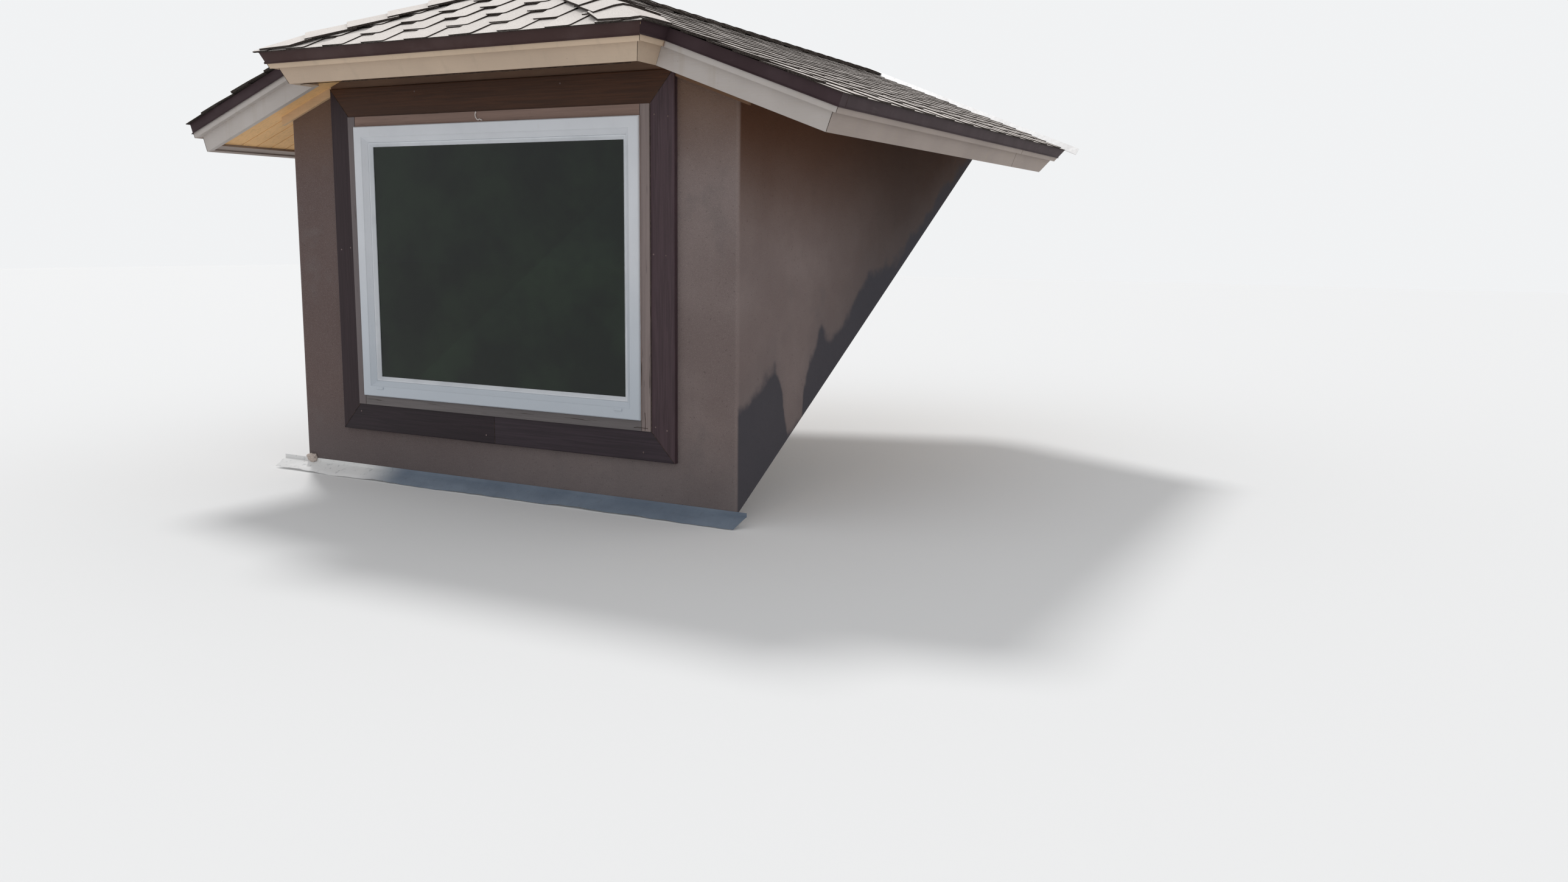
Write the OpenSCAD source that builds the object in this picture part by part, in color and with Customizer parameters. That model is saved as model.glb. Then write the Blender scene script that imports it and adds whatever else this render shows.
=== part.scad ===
// Dormer window with a clipped gable: two stuccoed cheeks and a stuccoed
// front, one wide fixed window in two rings of trim, and a low roof whose
// front end is hipped back above the window.
// X runs along the front, Y back into the main roof, Z up.
// The origin lies on the slope of the main roof, under the middle of the
// front wall. Everything stands on that slope, which climbs towards +Y.

/* [Walls] */
// outside width over both cheeks
wall_w = 2100; // [1980:1:2400]
// thickness of the front wall and of the cheeks
wall_t = 130; // [100:1:160]
// rounding of the stuccoed corners
corner_r = 9; // [3:1:20]

/* [Main roof] */
// slope of the main roof the dormer stands on, degrees
main_pitch = 30.25; // [27:0.25:36]

/* [Dormer roof] */
// slope of both sides, degrees
roof_pitch = 20.3; // [18:0.1:23]
// slope of the front hip, a little steeper than the sides, degrees
front_pitch = 26; // [24:0.1:28]
// side eaves: face of the fascia out from the cheek
eave_out = 420; // [300:1:470]
// rakes: face of the fascia out from the front wall
rake_out = 115; // [90:1:160]
// front eave of the hip: face of the fascia out from the front wall
front_out = 281; // [250:1:320]
// front eave: each end past the outer trim of the window
front_past = 34; // [20:1:60]
// roof boards
deck_t = 12; // [9:1:18]
// depth of the rafters
rafter_h = 89; // [70:1:95]
// thickness of rafters and ridge board
rafter_t = 38; // [30:1:50]
// spacing of the rafters
rafter_gap = 406; // [350:1:450]
// depth of the ridge board
ridge_h = 190; // [140:1:210]

/* [Eave boards] */
// fascia: thickness
fascia_t = 19; // [15:1:25]
// fascia: lower edge below the top of the deck
fascia_drop = 127; // [122:1:150]
// upper moulding on the fascia: thickness
mould_t = 22; // [15:1:28]
// upper moulding: lower edge below the top of the deck
mould_drop = 61; // [52:1:75]
// metal drip edge: sheet thickness
drip_t = 1.5; // [1:0.1:3]
// drip edge: lower edge below the top of the deck
drip_drop = 42; // [34:1:48]
// drip edge: how far its hem kicks out
drip_kick = 6; // [3:0.5:9]
// drip edge: width of the flange that lies on the deck
drip_flange = 60; // [40:1:80]
// sub-fascia behind the side fascias: thickness
sub_t = 38; // [30:1:45]

/* [Soffits] */
// soffit boards
soffit_t = 12; // [9:1:16]
// width of the tongue and groove boards under the side eaves
groove_gap = 76; // [60:1:100]
// width of their grooves
groove_w = 5; // [3:0.5:8]
// where the grooved boards start, out from the front wall
groove_out = 64; // [40:1:90]
// how far the front fascia hangs below its flat soffit
front_lip = 38; // [30:1:50]
// frieze strip under the front soffit: height at its ends
frieze_end = 8; // [2:1:30]
// frieze strips under the rakes: height
frieze_h = 34; // [25:1:50]
// frieze strip under the rakes: past the corner of the wall
frieze_past = 45; // [0:1:60]
// frieze strip: thickness
frieze_t = 12; // [8:1:16]

/* [Shingles] */
// visible length of each course
course = 104; // [90:1:125]
// thickness of the roofing at the top of a course
shingle_t = 9; // [7:0.5:12]
// extra thickness at the lower edge of a course
butt_t = 8; // [5:0.5:12]
// how far the shingles reach past the drip edge
shingle_out = 18; // [10:1:30]
// shingles cut back from the valleys
valley_gap = 38; // [30:1:60]
// caps on hips and ridge: width each side of the fold
cap_w = 135; // [110:1:160]
// caps: visible length
cap_len = 128; // [100:1:150]
// caps: thickness at the upper end
cap_t = 7; // [5:0.5:10]
// caps: extra thickness at the lower end
cap_butt = 9; // [4:0.5:12]

/* [Window frame] */
// frame: outside width
frame_w = 1344; // [1200:1:1400]
// frame: outside height
frame_h = 1057; // [950:1:1060]
// lower edge of the frame above the foot of the wall
frame_sill = 309; // [300:1:360]
// front of the frame out from the stucco
frame_out = 38; // [32:1:44]
// depth of the frame inside the stucco face
frame_in = 52; // [40:1:60]
// width of the outer band of the frame
frame_band = 43; // [30:1:48]
// bevel on the edges of the outer band
frame_edge = 3; // [1:0.5:5]
// width of the sloping band inside it
frame_slope = 18; // [10:1:20]
// how deep the sloping band falls
frame_fall = 16; // [10:1:20]
// glazing bead: width
bead_w = 16; // [10:1:20]
// glazing bead: depth in front of the glass
bead_d = 13; // [9:1:16]
// pane thickness
glass_t = 18; // [12:1:22]
// weep covers: length
weep_l = 34; // [20:1:45]
// weep covers: distance from the ends of the frame
weep_in = 92; // [70:1:150]
// weep covers: above the lower edge of the frame
weep_up = 29; // [15:1:32]
// weep covers: height
weep_h = 9; // [5:1:10]
// weep covers: thickness
weep_t = 3; // [1:0.5:5]

/* [Trim] */
// inner trim: width
inner_w = 38; // [30:1:45]
// inner trim: out from the stucco
inner_out = 26; // [22:1:31]
// outer trim: width of the side boards
side_w = 98; // [80:1:110]
// outer trim: width of the head board
head_w = 112; // [90:1:116]
// outer trim: width of the sill boards
sill_w = 108; // [90:1:116]
// outer trim: out from the stucco
outer_out = 20; // [14:1:21]
// outer trim: rounding of the outer edges
outer_r = 5; // [2:0.5:8]
// joint of the two sill boards, sideways from the middle
seam_x = -9; // [-300:1:300]

/* [Flashing] */
// apron at the foot of the front wall: width down the slope
apron_w = 72; // [50:1:90]
// apron: past the left corner
apron_left = 145; // [30:1:180]
// apron: past the right corner
apron_right = 27; // [10:1:60]
// apron: upstand above the foot of the wall
apron_up = 18; // [8:1:40]
// sheet metal of apron and valleys
sheet_t = 1.5; // [1:0.1:3]
// valley metal: width on the main roof
valley_w = 62; // [45:1:90]
// valley metal: width under the shingles of the dormer
valley_in = 95; // [70:1:130]
// valley metal: past the side eaves
valley_out = 88; // [50:1:120]

/* [Fit] */
// joint between boards that meet
joint = 0.3; // [0.1:0.1:1]

/* [Hidden] */
$fn = 24;
ct = cos(roof_pitch);
st = sin(roof_pitch);
tt = tan(roof_pitch);
cf = cos(front_pitch);
sf = sin(front_pitch);
tm = tan(main_pitch);
half = wall_w / 2;
face_y = -wall_t / 2;
base_z = face_y * tm;
eave_x = half + eave_out;
rake_y = face_y - rake_out;
front_y = face_y - front_out;
slope_l = eave_x / ct;
drip_o = mould_t + drip_t;
tip_o = drip_o + shingle_out;
soff_top = deck_t + rafter_h;
soff_bot = soff_top + soffit_t;
sub_drop = fascia_drop - 5;
roofing_t = shingle_t + butt_t;
open_w = frame_w - 2 * (frame_band + frame_slope);
open_h = frame_h - 2 * (frame_band + frame_slope);
glass_w = open_w - 6;
glass_h = open_h - 6;
frame_z = base_z + frame_sill;
mid_z = frame_z + frame_h / 2;
front_face = face_y - frame_out;
glass_y = front_face + frame_fall + bead_d;
inner_x = frame_w / 2 + joint;
inner_z0 = frame_z - joint;
inner_z1 = frame_z + frame_h + joint;
outer_x = inner_x + inner_w + joint;
outer_z0 = inner_z0 - inner_w - joint;
outer_z1 = inner_z1 + inner_w + joint;

trim_x = outer_x + side_w;
head_top = outer_z1 + head_w + joint;

// the front eave follows from the width of the window with its trim
front_half = trim_x + front_past;
// how far the hips run back for each unit that they run in
hip_run = tt * cf / sf;
hip_y = front_y + hip_run * front_half;
hip_l = front_half * tt / sf;
// boards square to the steeper front are deeper, so that they end level
front_deep = ct / cf;
ret_u = (eave_x - front_half) / ct;

// where the side soffits meet the flat soffit, out from the middle
flat_x = front_half + (fascia_drop * ct - front_lip - soff_bot / ct) / tt;

// heights follow from the window: trim, frieze, flat soffit, front fascia,
// and from there up the slopes to the ridge and down to the side eaves
flat_z = head_top + frieze_end + max(0, trim_x - flat_x) * tt;
front_z = flat_z + fascia_drop * ct - front_lip;
ridge_z = front_z + front_half * tt;
eave_z = ridge_z - eave_x * tt;
back_l = ridge_z / tm + wall_t;

// lengths that reach past every edge, for cuts and stock
far = 4 * wall_w;
reach = wall_w / 5;

// the grooved boards start beside the corner of the wall
groove_y = face_y - groove_out;

// Shared construction

// turns a child into the slope of the left side: X up the slope from the
// deck edge, Y back, Z square to the slope
module left_frame() {
  translate([-eave_x, 0, eave_z])
    rotate([0, -roof_pitch, 0])
      children();
}

// turns a child into the slope of the front hip: Y up the slope
module front_frame() {
  translate([0, front_y, front_z])
    rotate([front_pitch, 0, 0])
      children();
}

// all beyond the plane of the left mitre between front and return, on the
// front's side of it for s = 1 and on the return's for s = -1
module mitre_side(s, j) {
  n = [s * ct, -s * cf, s * (st - sf)];
  translate([-front_half, front_y, front_z])
    rotate([0, acos(n[2] / norm(n)), atan2(n[1], n[0])])
      translate([-far, -far, j])
        cube(2 * far);
}

// the child and its mirror image on the other side
module both_sides() {
  children();
  mirror([1, 0, 0])
    children();
}

// everything under the slope of the main roof
module below_main() {
  under_metal(0);
}

// the same raised by n
module under_metal(n) {
  rotate([main_pitch, 0, 0])
    translate([-far, -far, -far])
      cube([2 * far, 2 * far, far + n]);
}

// space above the left slope, the depth d square below the deck's top
module above_left(d) {
  left_frame()
    translate([-far, -far, -d])
      cube([2 * far, 2 * far, far]);
}

module above_front(d) {
  front_frame()
    translate([-far, -far, -d])
      cube([2 * far, 2 * far, far]);
}

module above_roof(d) {
  both_sides()
    above_left(d);
  above_front(d);
}

// plan of the left slope, from the hip to the ridge, with the joint j
module left_plan(j) {
  e = j * sqrt(1 + hip_run * hip_run);
  translate([0, 0, -far])
    linear_extrude(2 * far)
      polygon([[-j, hip_y - hip_run * j + e], [-far, hip_y - hip_run * far + e],
               [-far, far], [-j, far]]);
}

// the same for the front slope, its eave moved out by o
module front_plan(j, o = reach) {
  e = j * sqrt(1 + hip_run * hip_run);
  w = front_half + o * ct;
  translate([0, 0, -far])
    linear_extrude(2 * far)
      polygon([[0, hip_y - e], [-w, hip_y - hip_run * w - e], [-w, -far],
               [w, -far], [w, hip_y - hip_run * w - e]]);
}

// where the deck's top meets the main roof, at the distance u up the slope
function valley_y(u) = (eave_z + u * st) / tm;

// outline of the left slope, its eave, rake and return moved out by o and
// its valley edge moved in by b
module slope_outline(o, b = 0) {
  e = slope_l + reach;
  polygon([[-o, rake_y - o], [ret_u - o, rake_y - o], [ret_u - o, front_y - reach],
           [e, front_y - reach], [e, valley_y(e) - b], [-o, valley_y(-o) - b]]);
}

// band of the outline between two offsets, running past the valley
module edge_band(o, i) {
  difference() {
    slope_outline(o, -reach);
    slope_outline(i, -2 * reach);
  }
}

// the three runs of the edge, parted on the mitres
module eave_part(j) {
  polygon([[-reach, rake_y - reach + j], [reach, rake_y + reach + j],
           [reach, far], [-reach, far]]);
}

module rake_part(j) {
  polygon([[j - reach, rake_y - reach], [ret_u - j - reach, rake_y - reach],
           [ret_u - j + reach, rake_y + reach], [j + reach, rake_y + reach]]);
}

module return_part(j) {
  polygon([[ret_u - reach, rake_y - reach - j], [ret_u + reach, rake_y + reach - j],
           [ret_u + reach, -far], [ret_u - reach, -far]]);
}

// one run of boards under the deck edge, from z0 to z1 square to the slope
module left_run(o, i, z0, z1) {
  difference() {
    intersection() {
      left_frame()
        translate([0, 0, z0])
          linear_extrude(z1 - z0)
            intersection() {
              edge_band(o, i);
              children();
            }
      mitre_side(-1, joint / 2);
    }
    above_front(deck_t);
    below_main();
  }
}

module front_run(o, i, z0, z1) {
  difference() {
    intersection() {
      front_frame()
        translate([-far, -o, z0])
          cube([2 * far, o - i, z1 - z0]);
      mitre_side(1, joint / 2);
      mirror([1, 0, 0])
        mitre_side(1, joint / 2);
    }
    above_roof(deck_t);
  }
}

// section of the drip edge: flange on the deck, face of the depth d, kicked hem
module drip_section(d = drip_drop) {
  o = drip_o + joint;
  e = drip_t / sqrt(2);
  polygon([[drip_flange, joint], [drip_flange, joint + drip_t],
           [-o, joint + drip_t], [-o, drip_kick - d],
           [-o - drip_kick + e, e - d], [-o - drip_kick + 2 * e, -d],
           [drip_t - o, drip_kick - d - (sqrt(2) - 1) * drip_t],
           [drip_t - o, joint]]);
}

// the three runs of the drip edge on the left slope
module drip_eave() {
  rotate([90, 0, 0])
    translate([0, 0, -far])
      linear_extrude(far + reach - rake_y)
        drip_section();
}

module drip_rake() {
  translate([0, rake_y, 0])
    rotate([90, 0, 90])
      translate([0, 0, -reach])
        linear_extrude(ret_u + 2 * reach)
          drip_section();
}

module drip_return() {
  translate([ret_u, 0, 0])
    rotate([90, 0, 0])
      translate([0, 0, -rake_y - reach])
        linear_extrude(far)
          drip_section();
}

module drip_run() {
  difference() {
    intersection() {
      left_frame()
        intersection() {
          children(0);
          translate([0, 0, -reach])
            linear_extrude(2 * reach)
              children(1);
        }
      mitre_side(-1, joint / 2);
    }
    above_front(-joint - drip_t);
    under_metal(sheet_t + joint);
  }
}

// n courses of the length l in section, from z0 up, thick at their lower end
module course_section(n, l, z0, thin, thick) {
  polygon(concat([[0, z0]],
                 [for (i = [0 : 2 * n - 1])
                   i % 2 == 0 ? [i / 2 * l, thick] : [(i + 1) / 2 * l, thin]],
                 [[n * l, z0]]));
}

// a board of the width w and thickness t, its front outer edge rounded
module board_section(w, t, r) {
  polygon(concat([[0, 0], [w, 0]],
                 [for (a = [0 : 15 : 90]) [w - r + r * cos(a), t - r + r * sin(a)]],
                 [[r / 5, t], [0, t - r / 5]]));
}

// a flat board seen from the front, drawn in X and Z
module front_plate(y0, y1) {
  translate([0, y1, 0])
    rotate([90, 0, 0])
      linear_extrude(y1 - y0)
        children();
}

// a block around the window's middle whose width w and height h shrink
// together: edge lists how far they shrink on each side, and how far out
// from the stucco
module shaped_block(w, h, edge) {
  n = len(edge) - 1;
  intersection() {
    translate([0, face_y, 0])
      linear_extrude(far)
        polygon(concat([for (p = edge) [p[0] - w / 2, -p[1]]],
                       [for (i = [n : -1 : 0]) [w / 2 - edge[i][0], -edge[i][1]]]));
    translate([-far, face_y, mid_z])
      rotate([90, 0, 90])
        linear_extrude(2 * far)
          polygon(concat([for (p = edge) [-p[1], p[0] - h / 2]],
                         [for (i = [n : -1 : 0]) [-edge[i][1], h / 2 - edge[i][0]]]));
  }
}

// Walls

module front_wall() {
  color([0.48, 0.42, 0.37])
    difference() {
      translate([0, 0, base_z - wall_t])
        linear_extrude(far)
          polygon(concat([[half, -face_y], [-half, -face_y]],
                         [for (a = [180 : 15 : 270])
                           [corner_r - half + corner_r * cos(a),
                            face_y + corner_r + corner_r * sin(a)]],
                         [for (a = [270 : 15 : 360])
                           [half - corner_r + corner_r * cos(a),
                            face_y + corner_r + corner_r * sin(a)]]));
      translate([-frame_w / 2 - joint, face_y - wall_t, frame_z - joint])
        cube([frame_w + 2 * joint, 3 * wall_t, frame_h + 2 * joint]);
      above_roof(soff_top);
      below_main();
    }
}

module cheek() {
  difference() {
    translate([-half, -face_y, 0])
      cube([wall_t, back_l, far]);
    above_left(soff_top);
    below_main();
  }
}

module left_cheek() {
  color([0.48, 0.42, 0.37])
    cheek();
}

module right_cheek() {
  color([0.48, 0.42, 0.37])
    mirror([1, 0, 0])
      cheek();
}

// Roof frame

module ridge_board() {
  color([0.72, 0.6, 0.42])
    difference() {
      translate([-rafter_t / 2, hip_y + rafter_t, ridge_z - ridge_h])
        cube([rafter_t, back_l, ridge_h]);
      above_roof(deck_t);
      below_main();
    }
}

module rafters() {
  difference() {
    intersection() {
      left_frame()
        union() {
          for (y = [hip_y + 1.5 * rafter_t : rafter_gap : ridge_z / tm - 1.5 * rafter_t])
            translate([fascia_t + sub_t, y, -soff_top])
              cube([slope_l, rafter_t, rafter_h]);
          translate([fascia_t + sub_t, hip_y - rafter_gap / 2, -soff_top])
            cube([slope_l, rafter_t, rafter_h]);
          translate([fascia_t + sub_t, rake_y + fascia_t, -soff_top])
            cube([slope_l, rafter_t, rafter_h]);
        }
      left_plan(rafter_t / 2);
    }
    below_main();
  }
}

module left_rafters() {
  color([0.72, 0.6, 0.42])
    rafters();
}

module right_rafters() {
  color([0.72, 0.6, 0.42])
    mirror([1, 0, 0])
      rafters();
}

// the space under the top of the flat soffit, in front of the wall
module below_flat() {
  translate([-flat_x, face_y - far, flat_z + soffit_t - far])
    cube([2 * flat_x, far, far]);
}

// the two boards under the hips, from the corner of the front eave up
module hip_rafters() {
  color([0.72, 0.6, 0.42])
    both_sides()
      difference() {
        intersection() {
          translate([0, hip_y, 0])
            rotate([0, 0, 180 + atan(hip_run)])
              translate([0, -rafter_t / 2, 0])
                cube([far, rafter_t, far]);
          above_left(soff_top);
          above_front(soff_top);
        }
        above_roof(deck_t);
        behind_front();
        left_frame()
          translate([ret_u + fascia_t - far, -far, -far])
            cube([far, 2 * far, 2 * far]);
        below_flat();
        translate([-rafter_t / 2 - joint, 0, 0])
          cube([far, far, far]);
      }
}

// jack rafters behind the front eave
module front_rafters() {
  color([0.72, 0.6, 0.42])
    difference() {
      intersection() {
        front_frame()
          union() {
            for (x = [-rafter_gap, 0, rafter_gap])
              translate([x - rafter_t / 2, fascia_t, -soff_top])
                cube([rafter_t, far, rafter_h]);
          }
        front_plan(rafter_t / 2);
      }
      below_flat();
    }
}

module deck_side() {
  difference() {
    intersection() {
      left_frame()
        translate([0, 0, -deck_t])
          linear_extrude(deck_t)
            slope_outline(mould_t, 0);
      left_plan(joint / 2);
    }
    below_main();
  }
}

module left_deck() {
  color([0.7, 0.58, 0.4])
    deck_side();
}

module right_deck() {
  color([0.7, 0.58, 0.4])
    mirror([1, 0, 0])
      deck_side();
}

module front_deck() {
  color([0.7, 0.58, 0.4])
    intersection() {
      front_frame()
        translate([-far, -mould_t, -deck_t])
          cube([2 * far, far, deck_t]);
      front_plan(joint / 2, mould_t);
    }
}

// Roofing

module shingles_side() {
  difference() {
    intersection() {
      left_frame()
        union() {
          intersection() {
            translate([-tip_o, far, 0])
              rotate([90, 0, 0])
                linear_extrude(2 * far)
                  course_section(ceil((slope_l + tip_o) / course), course,
                                 drip_t + 2 * joint, shingle_t, roofing_t);
            linear_extrude(2 * roofing_t)
              slope_outline(tip_o, valley_gap);
          }
          linear_extrude(drip_t + 3 * joint)
            slope_outline(-drip_flange - 2, valley_in + 4);
        }
      left_plan(joint / 2);
    }
    below_main();
  }
}

module left_shingles() {
  color([0.55, 0.53, 0.5])
    shingles_side();
}

module right_shingles() {
  color([0.55, 0.53, 0.5])
    mirror([1, 0, 0])
      shingles_side();
}

module front_shingles() {
  color([0.55, 0.53, 0.5])
    intersection() {
      front_frame()
        union() {
          translate([-far, -tip_o, 0])
            rotate([90, 0, 90])
              linear_extrude(2 * far)
                course_section(ceil((hip_l + tip_o) / course), course,
                               drip_t + 2 * joint, shingle_t, roofing_t);
          translate([-far, drip_flange + 2, 0])
            cube([2 * far, far, drip_t + 3 * joint]);
        }
      front_plan(joint / 2, tip_o);
    }
}

// caps of the length of a hip, along X with the fold in the middle
module hip_cap_run() {
  n = ceil(front_half * sqrt(1 + hip_run * hip_run + tt * tt) / cap_len) + 1;
  translate([-cap_len, cap_w, 0])
    rotate([90, 0, 0])
      linear_extrude(2 * cap_w)
        course_section(n, cap_len, 0, cap_t, cap_t + cap_butt);
}

// the two sides of the left hip meet on the upright plane through it
module hip_caps() {
  intersection() {
    union() {
      intersection() {
        left_frame()
          intersection() {
            translate([ret_u, front_y, roofing_t + joint])
              rotate([0, 0, atan(ct * hip_run)])
                hip_cap_run();
            linear_extrude(reach)
              slope_outline(tip_o + 3, 0);
          }
        left_plan(0);
        translate([-far, -far, 0])
          cube([2 * far, far + hip_y - joint, far]);
      }
      intersection() {
        front_frame()
          translate([-front_half, 0, roofing_t + joint])
            rotate([0, 0, atan(hip_run / cf)])
              hip_cap_run();
        front_frame()
          translate([-far, -tip_o - 3, 0])
            cube([2 * far, far, far]);
        front_plan(0, tip_o + 3);
      }
    }
    translate([-far, -far, 0])
      cube([far - joint, 2 * far, far]);
  }
}

module left_hip_caps() {
  color([0.5, 0.48, 0.45])
    hip_caps();
}

module right_hip_caps() {
  color([0.5, 0.48, 0.45])
    mirror([1, 0, 0])
      hip_caps();
}

// the last cap is laid flat up to the valley metal
module ridge_caps() {
  n = floor((ridge_z / tm - hip_y) / cap_len);
  color([0.5, 0.48, 0.45])
    difference() {
      both_sides()
        intersection() {
          left_frame()
            translate([slope_l - cap_w, hip_y, roofing_t + joint])
              union() {
                rotate([90, 0, 90])
                  linear_extrude(2 * cap_w)
                    course_section(n, cap_len, 0, cap_t, cap_t + cap_butt);
                translate([0, n * cap_len, 0])
                  cube([2 * cap_w, reach, cap_t + cap_butt]);
              }
          translate([-far, hip_y, 0])
            cube([far, far, far]);
        }
      under_metal(sheet_t + joint);
    }
}

// Eave boards

module front_fascia() {
  color([0.85, 0.78, 0.66])
    front_run(0, -fascia_t, -front_deep * fascia_drop, -deck_t);
}

module return_fascias() {
  color([0.85, 0.78, 0.66])
    both_sides()
      left_run(0, -fascia_t, -fascia_drop, -deck_t)
        return_part(joint / 2);
}

module rake_fascias() {
  color([0.85, 0.78, 0.66])
    both_sides()
      left_run(0, -fascia_t, -fascia_drop, -deck_t)
        rake_part(joint / 2);
}

module eave_fascias() {
  color([0.85, 0.78, 0.66])
    both_sides()
      left_run(0, -fascia_t, -fascia_drop, -deck_t)
        eave_part(joint / 2);
}

module sub_fascias() {
  color([0.8, 0.73, 0.6])
    both_sides()
      difference() {
        left_frame()
          translate([fascia_t, rake_y + fascia_t, -sub_drop])
            cube([sub_t, far, sub_drop - deck_t]);
        below_main();
      }
}

module front_mould() {
  color([0.88, 0.81, 0.69])
    front_run(mould_t, 0, -front_deep * mould_drop, -deck_t);
}

module return_moulds() {
  color([0.88, 0.81, 0.69])
    both_sides()
      left_run(mould_t, 0, -mould_drop, -deck_t)
        return_part(joint / 2);
}

module rake_moulds() {
  color([0.88, 0.81, 0.69])
    both_sides()
      left_run(mould_t, 0, -mould_drop, -deck_t)
        rake_part(joint / 2);
}

module eave_moulds() {
  color([0.88, 0.81, 0.69])
    both_sides()
      left_run(mould_t, 0, -mould_drop, -deck_t)
        eave_part(joint / 2);
}

module front_drip() {
  color([0.24, 0.19, 0.18])
    difference() {
      intersection() {
        front_frame()
          translate([-far, 0, 0])
            rotate([90, 0, 90])
              linear_extrude(2 * far)
                drip_section(front_deep * drip_drop);
        mitre_side(1, joint / 2);
        mirror([1, 0, 0])
          mitre_side(1, joint / 2);
      }
      both_sides()
        above_left(-joint - drip_t);
    }
}

module return_drips() {
  color([0.24, 0.19, 0.18])
    both_sides()
      drip_run() {
        drip_return();
        return_part(joint / 2);
      }
}

module rake_drips() {
  color([0.24, 0.19, 0.18])
    both_sides()
      drip_run() {
        drip_rake();
        rake_part(joint / 2);
      }
}

module eave_drips() {
  color([0.24, 0.19, 0.18])
    both_sides()
      drip_run() {
        drip_eave();
        eave_part(joint / 2);
      }
}

// Soffits and friezes

// the space in front of the inner face of the front fascia
module behind_front() {
  front_frame()
    translate([-far, fascia_t - far, -far])
      cube([2 * far, far, 2 * far]);
}

// flat between the fascia of the front and the wall
module front_soffit() {
  color([0.6, 0.52, 0.42])
    difference() {
      translate([-flat_x + joint / 2, face_y - far, flat_z])
        cube([2 * flat_x - joint, far, soffit_t]);
      behind_front();
    }
}

module rake_soffits() {
  color([0.6, 0.52, 0.42])
    both_sides()
      difference() {
        intersection() {
          left_frame()
            translate([0, 0, -soff_bot])
              linear_extrude(soffit_t)
                slope_outline(-fascia_t, 0);
          translate([-far, -far, 0])
            cube([far - flat_x - joint / 2, far + face_y, far]);
        }
        left_frame()
          translate([-reach, -far, -reach])
            cube([reach + fascia_t + sub_t, 2 * far, reach]);
        translate([-far, groove_y - joint, 0])
          cube([far - half, far, far]);
        behind_front();
      }
}

module eave_soffits() {
  color([0.6, 0.52, 0.42])
    both_sides()
      difference() {
        left_frame()
          difference() {
            translate([fascia_t + sub_t, groove_y, -soff_bot])
              cube([eave_out / ct, far, soffit_t]);
            for (y = [groove_y + groove_gap : groove_gap : valley_y(0)])
              translate([0, y - groove_w / 2, -soff_bot - 1])
                cube([slope_l, groove_w, 1 + soffit_t / 3]);
          }
        translate([-half, -far, 0])
          cube([far, 2 * far, far]);
        below_main();
      }
}

module front_frieze() {
  zs = flat_z - (trim_x - flat_x) * tt;
  color([0.55, 0.46, 0.36])
    front_plate(face_y - frieze_t, face_y)
      polygon([[-trim_x, head_top], [trim_x, head_top], [trim_x, zs],
               [flat_x, flat_z], [-flat_x, flat_z], [-trim_x, zs]]);
}

module rake_friezes() {
  color([0.55, 0.46, 0.36])
    both_sides()
      intersection() {
        left_frame()
          translate([0, face_y - frieze_t, -soff_bot - frieze_h * ct])
            cube([slope_l, frieze_t, frieze_h * ct]);
        translate([-half - frieze_past, -far, 0])
          cube([half + frieze_past - trim_x - joint, 2 * far, far]);
      }
}

// Window

module window_frame() {
  inner = frame_band + frame_slope;
  seat = frame_out - frame_fall - bead_d - glass_t;
  lip = inner + bead_w - frame_edge;
  color([0.93, 0.93, 0.91])
    difference() {
      shaped_block(frame_w, frame_h, [[0, -frame_in], [0, frame_out - frame_edge],
                                      [frame_edge, frame_out]]);
      shaped_block(frame_w, frame_h, [[lip, -2 * frame_in], [lip, seat], [inner, seat],
                                      [inner, frame_out - frame_fall],
                                      [frame_band, frame_out - frame_edge],
                                      [frame_band - frame_edge, frame_out],
                                      [frame_band - frame_edge, 2 * frame_out]]);
    }
}

module glazing_bead() {
  w = open_w - 2 * joint;
  h = open_h - 2 * joint;
  y = frame_out - frame_fall;
  e = bead_w / 16;
  color([0.88, 0.88, 0.86])
    difference() {
      shaped_block(w, h, [[0, y - bead_d], [0, y - e], [e, y]]);
      shaped_block(w, h, [[bead_w, y - 2 * bead_d], [bead_w, y - 3 / 4 * bead_d],
                          [bead_w / 3, y], [bead_w / 3, y + bead_d]]);
    }
}

module glass() {
  color([0.25, 0.3, 0.33, 0.5])
    translate([-glass_w / 2, glass_y, mid_z - glass_h / 2])
      cube([glass_w, glass_t, glass_h]);
}

module weep_covers() {
  color([0.86, 0.86, 0.84])
    both_sides()
      translate([frame_w / 2 - weep_in - weep_l / 2, front_face, frame_z + weep_up])
        rotate([0, 90, 0])
          linear_extrude(weep_l)
            polygon([[0, 0], [-weep_h, 0], [-weep_h, -weep_t / 3],
                     [-2 / 3 * weep_h, -weep_t], [-weep_h / 9, -weep_t],
                     [0, -2 / 3 * weep_t]]);
}

// Trim

module inner_bar(w, h) {
  rotate([90, 0, 0])
    linear_extrude(inner_out)
      square([w, h]);
}

module inner_head() {
  color([0.66, 0.55, 0.46])
    translate([-inner_x + joint, face_y, inner_z1])
      inner_bar(2 * inner_x - 2 * joint, inner_w);
}

module inner_sill() {
  color([0.66, 0.55, 0.46])
    translate([-inner_x + joint, face_y, inner_z0 - inner_w])
      inner_bar(2 * inner_x - 2 * joint, inner_w);
}

module inner_sides() {
  color([0.66, 0.55, 0.46])
    both_sides()
      translate([inner_x, face_y, inner_z0 - inner_w])
        inner_bar(inner_w, inner_z1 - inner_z0 + 2 * inner_w);
}

// front view of the head board and of the sill boards, j the mitre joint
module outer_top_outline(j) {
  polygon([[-outer_x + j, outer_z1], [outer_x - j, outer_z1],
           [trim_x - j, outer_z1 + head_w],
           [-trim_x + j, outer_z1 + head_w]]);
}

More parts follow.
